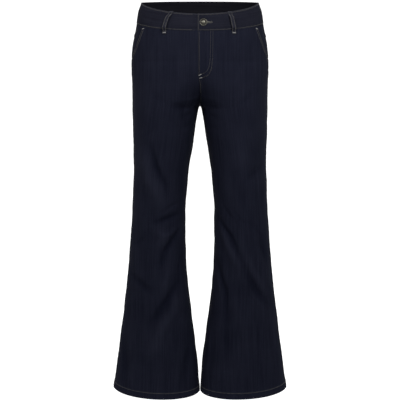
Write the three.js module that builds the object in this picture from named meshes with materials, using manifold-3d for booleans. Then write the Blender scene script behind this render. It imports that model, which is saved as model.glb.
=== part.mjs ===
// Flared jeans in dark rinse denim, filled out as they are when worn, with nobody in them.
//
// Millimetres. +Z is up, -Y is the front, and +X is the wearer's left side. The origin is the middle
// of the waist opening, close to the mean height of its edge.
//
// Each side of the garment is one tube. A level z of it is cut by a horizontal plane into an ellipse
// whose front and back halves have their own depths, and a turn angle runs round it: 0 degrees faces
// the other leg, 90 is the front, 180 the outer side and 270 the back. Above the crotch the ellipse
// reaches past the middle plane, where the centre seam cuts it off. The right side mirrors the left.
import * as THREE from "three";
import { mergeVertices } from "three/addons/utils/BufferGeometryUtils.js";
import Module from "manifold-3d";

const CLOTH = 1.2; // thickness of one layer of denim
const SEAM_GAP = 0.3; // between pieces that are sewn together
const CROTCH = -280; // height of the crotch point
const FRONT_RISE_CURVE = 120; // height over which the front crotch seam curves up
const BACK_RISE_CURVE = 165; // the same for the seat seam, which is longer

// Half of the garment, level by level. out and inn are the outer and inner edge as seen from the
// front, front and back are its faces' y, and mid is the y of the side line. No inn above the crotch.
const SECTIONS = [
  { z: 30, out: 157, front: -97, back: 103, mid: 3 },
  { z: 0, out: 163.5, front: -100, back: 107, mid: 3 },
  { z: -20, out: 170.5, front: -102, back: 109, mid: 3 },
  { z: -45, out: 175, front: -105, back: 113, mid: 4 },
  { z: -75, out: 180.6, front: -109, back: 118, mid: 4 },
  { z: -110, out: 187.8, front: -113, back: 125, mid: 5 },
  { z: -150, out: 191.5, front: -115, back: 132, mid: 6 },
  { z: -186, out: 191.5, front: -115.5, back: 135, mid: 7 },
  { z: -225, out: 190, front: -114.5, back: 132, mid: 8 },
  { z: -280, out: 190, inn: 0, front: -111, back: 118, mid: 8 },
  { z: -284, out: 190, inn: 3.6, front: -110.8, back: 117, mid: 7.8 },
  { z: -297, out: 189.7, inn: 6.4, front: -110, back: 114, mid: 7 },
  { z: -320, out: 189.3, inn: 10.3, front: -108.5, back: 109, mid: 5 },
  { z: -399, out: 187.3, inn: 21.8, front: -102.5, back: 94, mid: -2 },
  { z: -444, out: 186.8, inn: 29.5, front: -98.5, back: 87, mid: -5 },
  { z: -490, out: 188, inn: 34.4, front: -94, back: 79, mid: -7 },
  { z: -581, out: 192.2, inn: 40.7, front: -86.5, back: 68, mid: -9 },
  { z: -674, out: 199.2, inn: 40.4, front: -81.5, back: 64, mid: -9 },
  { z: -767, out: 207.9, inn: 36, front: -80, back: 66, mid: -7 },
  { z: -861, out: 219.2, inn: 25.4, front: -80.5, back: 71, mid: -5 },
  { z: -956, out: 232.1, inn: 13.5, front: -82.5, back: 77, mid: -3 },
  { z: -1052, out: 245.6, inn: 3.4, front: -85.5, back: 82, mid: -2 },
  { z: -1112, out: 255, inn: 0.8, front: -88, back: 86, mid: -1 },
];

// The waist seam dips at the front and climbs at the back, from its height at the side seams.
const WAIST_DIP = 33;
const WAIST_CLIMB = 17;
const WAIST_SHAPE = 1.3; // power of the sine that gives the seam its curve
const BAND_HEIGHT = 51;
const BAND_SIDE_MORE = 6.5; // the band is this much higher at the sides
const BAND_BACK_MORE = 1.5; // and this much at the centre back
const BAND_LEVEL = -50; // height at which places round the waist are worked out
const BAND_FRONT_LESS = 5; // the band is this much narrower at the centre front
const BAND_OUT = 0.9; // the band stands this far out from the panels
const BAND_THICKNESS = 2.6; // outer cloth and facing together
const BAND_END_X = -6.5; // edge of the overlapping end, past the middle
const BAND_UNDER_X = 36; // how far the other end runs on behind it
const BAND_DIVE = { from: 21, to: 9, depth: 3 }; // where that end dips behind, and how deep
const BAND_STATIONS = { lap: 8, left: 26, right: 28, under: 10, lapLength: 40 };

// The hem is a tilted plane, lower in front and at the inner side.
const HEM = { z: -1097.5, inner: 7, front: 7.5, height: 15, thickness: 3 };

const INSEAM_TURN = 8; // degrees by which the inseam lies round to the front
const INSEAM_EASE = 200; // height over which it gets there, below the crotch
const SIDE_TURN_HIP = 176;
const SIDE_TURN_HEM = 172;

// Grid of a panel: columns across it, rows down the leg, up the crotch curve and on to the top. Rows
// crowd toward the crotch by a power, and the curved ones run on past the curve's end.
const PANEL = { columns: 14, legRows: 25, curveRows: 12, straightRows: 4, crowd: 1.3, runOn: 10 };

// The slanted pocket's edge runs from the waist seam at topX, topZ to the side seam at bottomZ. The
// facing reaches under the front by under, and down to bottom.
const POCKET = { topX: 157.5, topZ: -67, bottomZ: -155, under: 24, bottom: -178, turn: 170, sunk: 0.8 };
const YOKE = { side: 38, extra: 40, rows: 4 }; // height at the side seam, and how much more behind
const LAYER_GAP = 0.85; // between layers that lie behind each other

// The left front laps over by shift, more and more between the heights from and to.
// The facing and the shield are that wide, and their lower far corner rises by round, starting at
// the share roundFrom of their width.
const FLY = {
  shift: 4,
  from: -225,
  to: -195,
  facing: 40,
  shield: 46,
  bottom: -206,
  top: -1,
  round: 34,
  roundFrom: 0.35,
};
const ZIP = { width: 28, tape: 1, chainWidth: 6, chain: 2.2, bottom: -196 };

// Back patch pocket: width at the top and low down, height at its sides, and the point below them.
const PATCH = {
  turn: 239,
  z: -132,
  top: 74,
  low: 63,
  side: 128,
  point: 26,
  pointPower: 1.15,
  tilt: 3,
  lift: 0.75,
};

// Belt loops: where each crosses the waist seam, and how far its top leans toward the centre.
const LOOPS = [
  { name: "belt_loop_front_left", side: 1, x: 90, back: false, lean: 7, bend: 1.1 },
  { name: "belt_loop_front_right", side: -1, x: 94, back: false, lean: 15, bend: 2.2 },
  { name: "belt_loop_side_left", side: 1, x: 118, back: true, lean: 2, bend: 1 },
  { name: "belt_loop_side_right", side: -1, x: 118, back: true, lean: 3, bend: 1.4 },
  { name: "belt_loop_back", side: 1, x: 0, back: true, lean: 0, bend: 1 },
];
const LOOP = { width: 11, thickness: 1.6, tack: 7, top: 1, below: 12, slack: 7, rise: 0.17, steps: 12 };
const LOOP_STEP = { below: 4.2, height: 3 }; // where a loop steps out from the panel onto the band
const LOOP_LEVEL = { front: -70, back: -50 }; // heights at which their x is measured

const BUTTON = { x: 9.2, z: -56.2, radius: 10, cap: 2.6, shank: 2.6, rim: 1.1 };
const BUTTONHOLE = { eye: 3.3, slit: 23, slitWidth: 1.5, ends: 44, from: -130, depth: 60 };

// Folds, as soft ridges (height above 0) or troughs (below 0) along a line from a to b to c. Each
// point is a turn angle in degrees and a height z. width is the fold's half-width.
const FOLDS = [
  // Right leg, front
  { side: -1, a: [111, -388], b: [99, -446], c: [72, -512], width: 10, height: -3.4 },
  { side: -1, a: [129, -399], b: [111, -481], c: [75, -565], width: 17, height: 3 },
  { side: -1, a: [96, -601], b: [77, -593], c: [43, -578], width: 9, height: -2.6 },
  { side: -1, a: [81, -726], b: [71, -678], c: [43, -628], width: 11, height: -3.4 },
  { side: -1, a: [98, -617], b: [77, -642], c: [88, -677], width: 14, height: 2.4 },
  { side: -1, a: [98, -888], b: [77, -838], c: [46, -774], width: 13, height: -3.6 },
  { side: -1, a: [99, -984], b: [80, -898], c: [51, -830], width: 14, height: 2.8 },
  { side: -1, a: [81, -805], b: [69, -763], c: [62, -714], width: 12, height: 2 },
  { side: -1, a: [149, -748], b: [122, -772], c: [99, -797], width: 11, height: -2.4 },
  { side: -1, a: [34, -958], b: [44, -1013], c: [50, -1075], width: 14, height: -2.4 },
  { side: -1, a: [150, -935], b: [141, -1010], c: [137, -1080], width: 13, height: -2.4 },
  { side: -1, a: [80, -276], b: [58, -286], c: [45, -331], width: 11, height: -1.6 },
  // Left leg, front
  { side: 1, a: [32, -592], b: [63, -640], c: [92, -727], width: 10, height: -3.4 },
  { side: 1, a: [92, -727], b: [111, -785], c: [136, -840], width: 13, height: -3.4 },
  { side: 1, a: [27, -713], b: [53, -794], c: [62, -886], width: 11, height: -3 },
  { side: 1, a: [60, -870], b: [62, -930], c: [66, -975], width: 12, height: -2.2 },
  { side: 1, a: [38, -614], b: [57, -668], c: [78, -722], width: 12, height: 2.4 },
  { side: 1, a: [86, -624], b: [88, -656], c: [88, -691], width: 12, height: 1.8 },
  { side: 1, a: [95, -690], b: [112, -749], c: [137, -817], width: 12, height: 2.4 },
  { side: 1, a: [33, -748], b: [43, -796], c: [51, -837], width: 9, height: 1.8 },
  { side: 1, a: [131, -642], b: [136, -685], c: [144, -722], width: 11, height: -2 },
  { side: 1, a: [100, -330], b: [92, -410], c: [96, -500], width: 18, height: 1.6 },
  { side: 1, a: [99, -483], b: [123, -461], c: [141, -440], width: 12, height: -1.4 },
  // Behind the knees and down the backs of the legs
  { side: -1, a: [322, -575], b: [285, -610], c: [240, -590], width: 12, height: -3.4 },
  { side: -1, a: [318, -640], b: [280, -668], c: [232, -650], width: 13, height: -3 },
  { side: -1, a: [318, -608], b: [282, -640], c: [238, -620], width: 12, height: 2.4 },
  { side: -1, a: [300, -720], b: [262, -800], c: [222, -900], width: 16, height: -3 },
  { side: -1, a: [250, -920], b: [262, -1000], c: [258, -1080], width: 17, height: -2.6 },
  { side: 1, a: [320, -560], b: [282, -598], c: [236, -585], width: 12, height: -3.2 },
  { side: 1, a: [322, -628], b: [284, -655], c: [238, -632], width: 13, height: -3.2 },
  { side: 1, a: [320, -594], b: [284, -626], c: [240, -610], width: 12, height: 2.4 },
  { side: 1, a: [232, -700], b: [270, -790], c: [306, -890], width: 16, height: -3 },
  { side: 1, a: [292, -920], b: [282, -1000], c: [286, -1080], width: 17, height: -2.6 },
  // Under the seat
  { side: -1, a: [322, -318], b: [285, -345], c: [238, -338], width: 14, height: -2.8 },
  { side: 1, a: [320, -322], b: [284, -340], c: [240, -330], width: 14, height: -2.6 },
];
const FOLD_MM_PER_DEGREE = 1.5; // how wide one degree of turn counts when folds are measured

const COLOURS = { denim: 0x1a1d29, zip: 0x171922, button: 0x57544a };

const wasm = await Module();
wasm.setup();

const radians = (degrees) => (degrees * Math.PI) / 180;
const evenly = (count) => Array.from({ length: count + 1 }, (_, i) => i / count);
const clamp = (v, low, high) => Math.min(high, Math.max(low, v));
const lerp = (a, b, t) => a + (b - a) * t;
const smooth = (t) => {
  const k = clamp(t, 0, 1);
  return k * k * (3 - 2 * k);
};

// A smooth curve through one column of a table, without overshoot (monotone cubic).
function column(table, name) {
  const rows = table.filter((row) => name in row);
  const x = rows.map((row) => -row.z);
  const y = rows.map((row) => row[name]);
  const slopes = x.slice(1).map((_, i) => (y[i + 1] - y[i]) / (x[i + 1] - x[i]));
  const tangents = x.map((_, i) => {
    if (i === 0) return slopes[0];
    if (i === x.length - 1) return slopes[i - 1];
    const [before, after] = [slopes[i - 1], slopes[i]];
    return before * after <= 0 ? 0 : (2 * before * after) / (before + after);
  });
  return (z) => {
    const at = clamp(-z, x[0], x[x.length - 1]);
    let i = 0;
    while (i < x.length - 2 && at > x[i + 1]) i += 1;
    const h = x[i + 1] - x[i];
    const t = (at - x[i]) / h;
    const bent = y[i] * (1 + 2 * t) * (1 - t) ** 2 + y[i + 1] * t * t * (3 - 2 * t);
    return bent + h * (tangents[i] * t * (1 - t) ** 2 - tangents[i + 1] * t * t * (1 - t));
  };
}
const outAt = column(SECTIONS, "out");
const innAt = column(SECTIONS, "inn");
const frontAt = column(SECTIONS, "front");
const backAt = column(SECTIONS, "back");
const midAt = column(SECTIONS, "mid");

// Centre and half-width of the ellipse at a level, for its front or its back half.
function ellipse(z, isFront) {
  const out = outAt(z);
  const apart = SEAM_GAP / 2;
  if (z <= CROTCH) {
    return { centre: (out + innAt(z)) / 2 + apart, half: (out - innAt(z)) / 2 };
  }
  const curve = isFront ? FRONT_RISE_CURVE : BACK_RISE_CURVE;
  const reach = 1 - clamp((z - CROTCH) / curve, 0, 1);
  return { centre: (reach * out) / (1 + reach) + apart, half: out / (1 + reach) };
}

// The turn angle at which a level's ellipse crosses a distance x from the middle plane.
function turnAtX(z, x, isFront) {
  const { centre, half } = ellipse(z, isFront);
  const turn = (Math.acos(clamp((centre - x) / half, -1, 1)) * 180) / Math.PI;
  return isFront ? turn : 360 - turn;
}

function foldHeight(side, turn, z) {
  let sum = 0;
  for (const fold of FOLDS) {
    if (fold.side !== side) continue;
    const line = [fold.a, fold.b, fold.c];
    let nearest = Infinity;
    let along = 0;
    for (let i = 0; i < 2; i += 1) {
      const [turnA, zA] = line[i];
      const [turnB, zB] = line[i + 1];
      const runX = (turnB - turnA) * FOLD_MM_PER_DEGREE;
      const runZ = zB - zA;
      const toX = (turn - turnA) * FOLD_MM_PER_DEGREE;
      const toZ = z - zA;
      const t = clamp((toX * runX + toZ * runZ) / (runX ** 2 + runZ ** 2), 0, 1);
      const distance = Math.hypot(toX - t * runX, toZ - t * runZ);
      if (distance < nearest) {
        nearest = distance;
        along = (i + t) / 2;
      }
    }
    const fade = 0.25 + 0.75 * Math.sin(Math.PI * along);
    sum += fold.height * fade * Math.exp(-((nearest / fold.width) ** 2));
  }
  return sum;
}

// A point of the cloth's smooth outer face, before its folds.
function plain(side, turn, z) {
  const isFront = turn % 360 <= 180;
  const { centre, half } = ellipse(z, isFront);
  const mid = midAt(z);
  const depth = isFront ? mid - frontAt(z) : backAt(z) - mid;
  const angle = radians(turn);
  const x = centre - half * Math.cos(angle);
  const y = mid - depth * Math.sin(angle);
  return new THREE.Vector3(side * x, y, z);
}

function plainNormal(side, turn, z) {
  const step = 0.4;
  const across = plain(side, turn + step, z).sub(plain(side, turn - step, z));
  const up = plain(side, turn, z + step).sub(plain(side, turn, z - step));
  return across.cross(up).normalize().multiplyScalar(side);
}

// A point of the cloth, folds included, moved out along its normal.
function cloth(side, turn, z, out = 0) {
  const point = plain(side, turn, z);
  return point.addScaledVector(plainNormal(side, turn, z), out + foldHeight(side, turn, z));
}

const WALK_STEPS = 6;

// The turn angle that lies a distance along the cloth from another one, at one level.
function walk(side, turn, z, distance) {
  let at = turn;
  for (let i = 0; i < WALK_STEPS; i += 1) {
    const degree = plain(side, at + 0.5, z).distanceTo(plain(side, at - 0.5, z));
    at += distance / WALK_STEPS / degree;
  }
  return at;
}

// A closed wall between two grids of points of the same size, given row by row.
function wall(outer, inner) {
  const rows = outer.length;
  const columns = outer[0].length;
  const positions = [...outer.flat(), ...inner.flat()].flatMap((p) => [p.x, p.y, p.z]);
  const front = (r, c) => r * columns + c;
  const back = (r, c) => rows * columns + front(r, c);
  const faces = [];
  const quad = (a, b, c, d) => faces.push(a, b, c, a, c, d);
  for (let r = 0; r < rows - 1; r += 1) {
    for (let c = 0; c < columns - 1; c += 1) {
      quad(front(r, c), front(r, c + 1), front(r + 1, c + 1), front(r + 1, c));
      quad(back(r, c), back(r + 1, c), back(r + 1, c + 1), back(r, c + 1));
    }
    quad(front(r, 0), front(r + 1, 0), back(r + 1, 0), back(r, 0));
    const last = columns - 1;
    quad(front(r, last), back(r, last), back(r + 1, last), front(r + 1, last));
  }
  for (let c = 0; c < columns - 1; c += 1) {
    quad(front(0, c), back(0, c), back(0, c + 1), front(0, c + 1));
    const last = rows - 1;
    quad(front(last, c), front(last, c + 1), back(last, c + 1), back(last, c));
  }
  const geometry = new THREE.BufferGeometry();
  geometry.setAttribute("position", new THREE.Float32BufferAttribute(positions, 3));
  geometry.setIndex(faces);
  return facingOut(geometry);
}

function solid(geometry) {
  const bare = geometry.clone();
  bare.deleteAttribute("normal");
  bare.deleteAttribute("uv");
  const merged = mergeVertices(bare, 1e-3);
  return new wasm.Manifold(
    new wasm.Mesh({
      numProp: 3,
      vertProperties: merged.attributes.position.array,
      triVerts: new Uint32Array(merged.index.array),
    }),
  );
}

function fromSolid(made) {
  const { vertProperties, triVerts } = made.getMesh();
  const geometry = new THREE.BufferGeometry();
  geometry.setAttribute("position", new THREE.BufferAttribute(new Float32Array(vertProperties), 3));
  geometry.setIndex(new THREE.BufferAttribute(new Uint32Array(triVerts), 1));
  return geometry;
}

// Turns the faces round if they point inwards.
function facingOut(geometry) {
  const p = geometry.attributes.position;
  const index = geometry.index;
  const corner = (i) => new THREE.Vector3().fromBufferAttribute(p, index.getX(i));
  let volume = 0;
  for (let i = 0; i < index.count; i += 3) {
    volume += corner(i).dot(corner(i + 1).cross(corner(i + 2)));
  }
  if (volume < 0) {
    for (let i = 0; i < index.count; i += 3) {
      const second = index.getX(i + 1);
      index.setX(i + 1, index.getX(i + 2));
      index.setX(i + 2, second);
    }
  }
  return geometry;
}

const group = new THREE.Group();

function add(name, geometry, colour = COLOURS.denim, roughness = 0.9, metalness = 0) {
  const material = new THREE.MeshStandardMaterial({ color: colour, roughness, metalness });
  const mesh = new THREE.Mesh(geometry, material);
  mesh.name = name;
  group.add(mesh);
}

// A wall from a function that gives the turn, level, outer and inner offset at each grid place.
function sheet(side, across, down, place) {
  const outer = [];
  const inner = [];
  for (const v of down) {
    const spots = across.map((u) => place(u, v));
    outer.push(spots.map(({ turn, z, out }) => cloth(side, turn, z, out)));
    inner.push(spots.map(({ turn, z, inset }) => cloth(side, turn, z, inset)));
  }
  return wall(outer, inner);
}

// Edges and seams, as heights or turn angles.
function waistCurve(turn) {
  const depth = Math.sin(radians(turn));
  const swing = Math.abs(depth) ** WAIST_SHAPE;
  return depth > 0 ? -WAIST_DIP * swing : WAIST_CLIMB * swing;
}
function waistSeam(turn) {
  const depth = Math.max(0, Math.sin(radians(turn)));
  return waistCurve(turn) - BAND_HEIGHT + BAND_FRONT_LESS * depth ** 2;
}
function topEdge(turn) {
  const middle = Math.sin(radians(turn)) > 0 ? 0 : BAND_BACK_MORE;
  return waistCurve(turn) + lerp(middle, BAND_SIDE_MORE, Math.cos(radians(turn)) ** 2);
}
function yokeSeam(turn) {
  return waistSeam(turn) - YOKE.side - YOKE.extra * (1 + Math.cos(radians(turn)));
}
function hemEdge(turn) {
  const angle = radians(turn);
  return HEM.z - HEM.inner * Math.cos(angle) - HEM.front * Math.sin(angle);
}
const inseam = (z) => INSEAM_TURN * smooth((CROTCH - z) / INSEAM_EASE);
const sideSeam = (z) => lerp(SIDE_TURN_HIP, SIDE_TURN_HEM, smooth((CROTCH - z) / (CROTCH - HEM.z)));

// Where the front ends at the top: the slanted pocket edge, down to the side seam.
function pocketEdge(z) {
  const fall = (POCKET.topZ - z) / (POCKET.topZ - POCKET.bottomZ);
  const x = lerp(POCKET.topX, outAt(POCKET.bottomZ) - SEAM_GAP / 3, fall);
  return Math.min(turnAtX(z, x, true), sideSeam(z));
}
const frontEnd = (z) => (z > POCKET.bottomZ ? pocketEdge(z) : sideSeam(z));

// Distance of the centre front edge from the middle plane: the left front laps over at the fly.
function flyEdge(side, z) {
  const share = smooth((z - FLY.from) / (FLY.to - FLY.from));
  const lap = side > 0 ? -FLY.shift : FLY.shift + SEAM_GAP;
  return lerp(SEAM_GAP / 2, lap, share);
}

const HALF_GAP_TURN = 0.1; // degrees, about half a seam gap at a leg's radius
const SETTLE = 8; // rounds until the height of a slanted top edge's corner settles

// Rows of a panel as shares of the way from the crotch down to the hem.
const LEG_LENGTH = CROTCH - HEM.z;
const HEM_ROWS = [0, HEM.height, HEM.height + 2.5].map((up) => 1 - up / LEG_LENGTH);
const LEG_ROWS = evenly(PANEL.legRows).slice(0, -1).map((t) => t * (1 - 2 * HEM.height / LEG_LENGTH));

// A front or back panel: u runs from the inseam and centre seam (0) to the side seam (1).
function panel(side, isFront, top) {
  const curve = isFront ? FRONT_RISE_CURVE : BACK_RISE_CURVE;
  const centreTurn = isFront ? 90 : 270;
  const sideTurn = (z) => (isFront ? frontEnd(z) - HALF_GAP_TURN : sideSeam(z) + HALF_GAP_TURN);
  const innerTurn = (z) => {
    if (z <= CROTCH) {
      return isFront ? inseam(z) + HALF_GAP_TURN : 360 + inseam(z) - HALF_GAP_TURN;
    }
    return turnAtX(z, isFront ? flyEdge(side, z) : SEAM_GAP / 2, isFront);
  };
  const centreTop = top(centreTurn) - SEAM_GAP / 2;
  let sideTop = centreTop;
  for (let i = 0; i < SETTLE; i += 1) sideTop = top(sideTurn(sideTop)) - SEAM_GAP / 2;

  // Rows lie closer together where the crotch seam curves.
  const curved = (curve + PANEL.runOn) / (centreTop - CROTCH);
  const curveRows = evenly(PANEL.curveRows).slice(1).map((t) => curved * t ** PANEL.crowd);
  const straightRows = evenly(PANEL.straightRows).slice(1).map((t) => lerp(curved, 1, t));
  const bodyRows = curved < 1 ? [...curveRows, ...straightRows] : curveRows.map((w) => w / curved);
  const down = [...HEM_ROWS, ...LEG_ROWS].map((w) => -w).concat(bodyRows).sort((a, b) => a - b);
  return sheet(side, evenly(PANEL.columns), down, (u, w) => {
    if (w <= 0) {
      const hemTurn = lerp(innerTurn(HEM.z), sideTurn(HEM.z), u);
      const z = lerp(CROTCH, hemEdge(hemTurn), -w);
      const isHem = (w + 1) * LEG_LENGTH < HEM.height + 1;
      const turn = lerp(innerTurn(z), sideTurn(z), u);
      return { turn, z, out: 0, inset: isHem ? -HEM.thickness : -CLOTH };
    }
    const centreZ = lerp(CROTCH, centreTop, w);
    const sideZ = lerp(CROTCH, sideTop, w);
    const topTurn = lerp(innerTurn(centreTop), sideTurn(sideTop), u);
    const z = lerp(CROTCH, top(topTurn) - SEAM_GAP / 2, w);
    return { turn: lerp(innerTurn(centreZ), sideTurn(sideZ), u), z, out: 0, inset: -CLOTH };
  });
}

// The yoke, between the waist seam and the back panel. v runs up.
function yoke(side) {
  return sheet(side, evenly(PANEL.columns), evenly(YOKE.rows), (u, v) => {
    const turn = lerp(turnAtX(BAND_LEVEL, SEAM_GAP / 2, false), SIDE_TURN_HIP + HALF_GAP_TURN, u);
    const low = yokeSeam(turn) + SEAM_GAP / 2;
    const high = waistSeam(turn) - SEAM_GAP / 2;
    return { turn, z: lerp(low, high, v), out: 0, inset: -CLOTH };
  });
}

// The cloth that shows in the slanted pocket's mouth, running on under the front.
function pocketFacing(side) {
  return sheet(side, evenly(5), evenly(5), (u, v) => {
    const roughZ = lerp(POCKET.bottom, waistSeam(POCKET.turn), v);
    const hidden = walk(side, pocketEdge(Math.max(roughZ, POCKET.bottomZ)), roughZ, -POCKET.under);
    const turn = lerp(hidden, sideSeam(roughZ) - HALF_GAP_TURN, u);
    const z = lerp(POCKET.bottom, waistSeam(turn) - SEAM_GAP / 2, v);
    const level = -CLOTH - POCKET.sunk;
    return { turn, z, out: level, inset: level - CLOTH };
  });
}

// A layer behind the fly, from one distance off the middle plane to another. The corner below its
// far end is rounded off, and thickness may change across it.
function flyLayer({ from, to, bottom, round, level, thickness, across = evenly(4) }) {
  return sheet(1, across, evenly(9), (u, v) => {
    const x = lerp(from, to, u);
    const low = bottom + round * smooth((u - FLY.roundFrom) / (1 - FLY.roundFrom));
    const z = lerp(low, waistSeam(90) + FLY.top, v);
    return { turn: turnAtX(z, x, true), z, out: level, inset: level - thickness(x) };
  });
}

// Facing, closed zip and shield lie behind each other, each sewn to the one before it.
function flyLayers() {
  const facingLevel = -CLOTH - LAYER_GAP;
  const zipLevel = facingLevel - CLOTH - LAYER_GAP;
  const shieldLevel = zipLevel - ZIP.chain - LAYER_GAP;
  const chain = ZIP.chainWidth / ZIP.width / 2;
  return {
    facing: flyLayer({
      from: -FLY.shift,
      to: FLY.facing - FLY.shift,
      bottom: FLY.bottom,
      round: FLY.round,
      level: facingLevel,
      thickness: () => CLOTH,
    }),
    zip: flyLayer({
      from: -ZIP.width / 2,
      to: ZIP.width / 2,
      bottom: ZIP.bottom,
      round: 0,
      level: zipLevel,
      thickness: (x) => (Math.abs(x) < ZIP.chainWidth / 2 + 0.1 ? ZIP.chain : ZIP.tape),
      across: [0, 0.2, 0.5 - chain - 0.02, 0.5 - chain, 0.5 + chain, 0.5 + chain + 0.02, 0.8, 1],
    }),
    shield: flyLayer({
      from: -ZIP.width / 2,
      to: FLY.shield - ZIP.width / 2,
      bottom: FLY.bottom,
      round: FLY.round,
      level: shieldLevel,
      thickness: () => 2 * CLOTH,
    }),
  };
}

function patchPocket(side) {
  return sheet(side, evenly(8), evenly(9), (u, v) => {
    const p = 2 * u - 1;
    const deep = PATCH.side + PATCH.point * (1 - Math.abs(p) ** PATCH.pointPower);
    const down = v * deep;
    const half = lerp(PATCH.top, PATCH.low, down / PATCH.side);
    const z = PATCH.z - down + p * PATCH.tilt;
    const turn = walk(side, PATCH.turn, z, -p * half);
    return { turn, z, out: PATCH.lift + CLOTH, inset: PATCH.lift };
  });
}

// The waistband is one strip: from its lapped end round the left, the back and the right side,
// and on behind the lapped end.
function bandStations() {
  const { lap, left, right, under, lapLength } = BAND_STATIONS;
  const start = turnAtX(BAND_LEVEL, BAND_END_X, true);
  const lapped = walk(1, 90, BAND_LEVEL, lapLength);
  const close = walk(-1, 90, BAND_LEVEL, BAND_DIVE.from);
  const end = turnAtX(BAND_LEVEL, -BAND_UNDER_X, true);
  const run = (side, from, to, count) =>
    evenly(count).slice(1).map((t) => ({ side, turn: lerp(from, to, t) }));
  return [
    { side: 1, turn: start },
    ...run(1, start, lapped, lap),
    ...run(1, lapped, 270, left),
    ...run(-1, 270, close, right),
    ...run(-1, close, end, under),
  ];
}

// Before this turn angle the right end of the band may dive behind the left one.
const BAND_FRONT_TURN = 150;

function bandPoint({ side, turn }, up, out) {
  const z = lerp(waistSeam(turn) + SEAM_GAP / 2, topEdge(turn), up);
  const x = plain(1, turn, z).x;
  const { from, to, depth } = BAND_DIVE;
  const dives = side < 0 && turn < BAND_FRONT_TURN;
  const dive = dives ? depth * smooth((from - x) / (from - to)) : 0;
  return plain(side, turn, z).addScaledVector(plainNormal(side, turn, z), out - dive);
}

function waistband() {
  const stations = bandStations();
  const grid = (out) => evenly(3).map((up) => stations.map((station) => bandPoint(station, up, out)));
  const strip = wall(grid(BAND_OUT), grid(BAND_OUT - BAND_THICKNESS));

  // The buttonhole is cut through the lapped end alone, by a keyhole trimmed to that end.
  const keyhole = new THREE.Shape();
  const { eye, slit, slitWidth, from, depth } = BUTTONHOLE;
  const open = Math.asin(slitWidth / 2 / eye);
  keyhole.absarc(0, 0, eye, open, 2 * Math.PI - open, false);
  keyhole.lineTo(slit, -slitWidth / 2);
  keyhole.lineTo(slit, slitWidth / 2);
  keyhole.closePath();
  const prism = new THREE.ExtrudeGeometry(keyhole, { depth, bevelEnabled: false, curveSegments: 6 });
  prism.rotateX(Math.PI / 2);
  prism.translate(BUTTON.x, from + depth, BUTTON.z);
  const far = walk(1, 90, BUTTON.z, BUTTONHOLE.ends);
  const lapped = evenly(10).map((t) => ({ side: 1, turn: lerp(90, far, t) }));
  const slab = (out) => evenly(4).map((up) => lapped.map((station) => bandPoint(station, up, out)));
  const lap = wall(slab(BAND_OUT + 1), slab(BAND_OUT - BAND_THICKNESS - SEAM_GAP / 2));
  const tool = solid(prism).intersect(solid(lap));
  return fromSolid(solid(strip).subtract(tool));
}

// A belt loop is a strap that is tacked down at both ends and bows out between them.
function beltLoop({ side, x, back, lean, bend }) {
  const seamTurn = turnAtX(back ? LOOP_LEVEL.back : LOOP_LEVEL.front, x, !back);
  const towardCentre = back ? 1 : -1;
  const top = topEdge(seamTurn) - LOOP.top;
  const bottom = waistSeam(seamTurn) - LOOP.below;
  const tack = LOOP.tack / (top - bottom);
  const stations = [0, ...evenly(LOOP.steps).map((q) => lerp(tack, 1 - tack, q)), 1];
  const grid = (extra) =>
    stations.map((q) => {
      const z = lerp(top, bottom, q);
      const bow = smooth(Math.min(q - tack, 1 - tack - q) / LOOP.rise);
      const onBand = smooth((z - waistSeam(seamTurn) + LOOP_STEP.below) / LOOP_STEP.height);
      const out = SEAM_GAP + BAND_OUT * onBand + LOOP.slack * bow + extra;
      const sideways = towardCentre * lean * (1 - q) ** bend;
      const centre = walk(side, seamTurn, z, sideways);
      return [-0.5, 0, 0.5].map((w) => {
        const turn = walk(side, centre, z, w * LOOP.width);
        return plain(side, turn, z).addScaledVector(plainNormal(side, centre, z), out);
      });
    });
  return wall(grid(LOOP.thickness), grid(0));
}

// The button is a domed cap with a rim, on a shank that goes through the buttonhole.
function button() {
  const { radius, cap, shank, rim } = BUTTON;
  const seat = BAND_OUT + SEAM_GAP;
  const foot = BAND_OUT - BAND_DIVE.depth + SEAM_GAP;
  const profile = [
    [0, foot],
    [shank, foot],
    [shank, seat],
    [radius - 0.5, seat],
    [radius, seat + 0.5],
    [radius, seat + 1.1],
    [radius - 0.6, seat + 1.7],
    [radius - rim - 0.5, seat + 1.7],
    [radius - rim - 1, seat + 1.2],
    [4.6, seat + 1.5],
    [2.6, seat + cap - 0.3],
    [0, seat + cap],
  ].map(([r, height]) => new THREE.Vector2(r, height));
  const geometry = new THREE.LatheGeometry(profile, 20);
  const turn = turnAtX(BUTTON.z, BUTTON.x, true);
  const turned = new THREE.Quaternion().setFromUnitVectors(
    new THREE.Vector3(0, 1, 0),
    plainNormal(1, turn, BUTTON.z),
  );
  geometry.applyQuaternion(turned);
  const at = plain(1, turn, BUTTON.z);
  geometry.translate(at.x, at.y, at.z);
  return geometry;
}

for (const [word, side] of [["left", 1], ["right", -1]]) {
  add(`front_panel_${word}`, panel(side, true, waistSeam));
  add(`back_panel_${word}`, panel(side, false, yokeSeam));
  add(`yoke_${word}`, yoke(side));
  add(`front_pocket_facing_${word}`, pocketFacing(side));
  add(`back_pocket_${word}`, patchPocket(side));
}
add("waistband", waistband());
for (const loop of LOOPS) {
  add(loop.name, beltLoop(loop));
}
const { facing, zip, shield } = flyLayers();
add("fly_facing", facing);
add("zip", zip, COLOURS.zip);
add("fly_shield", shield);
add("button", button(), COLOURS.button, 0.4, 0.9);

export default group;
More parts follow.
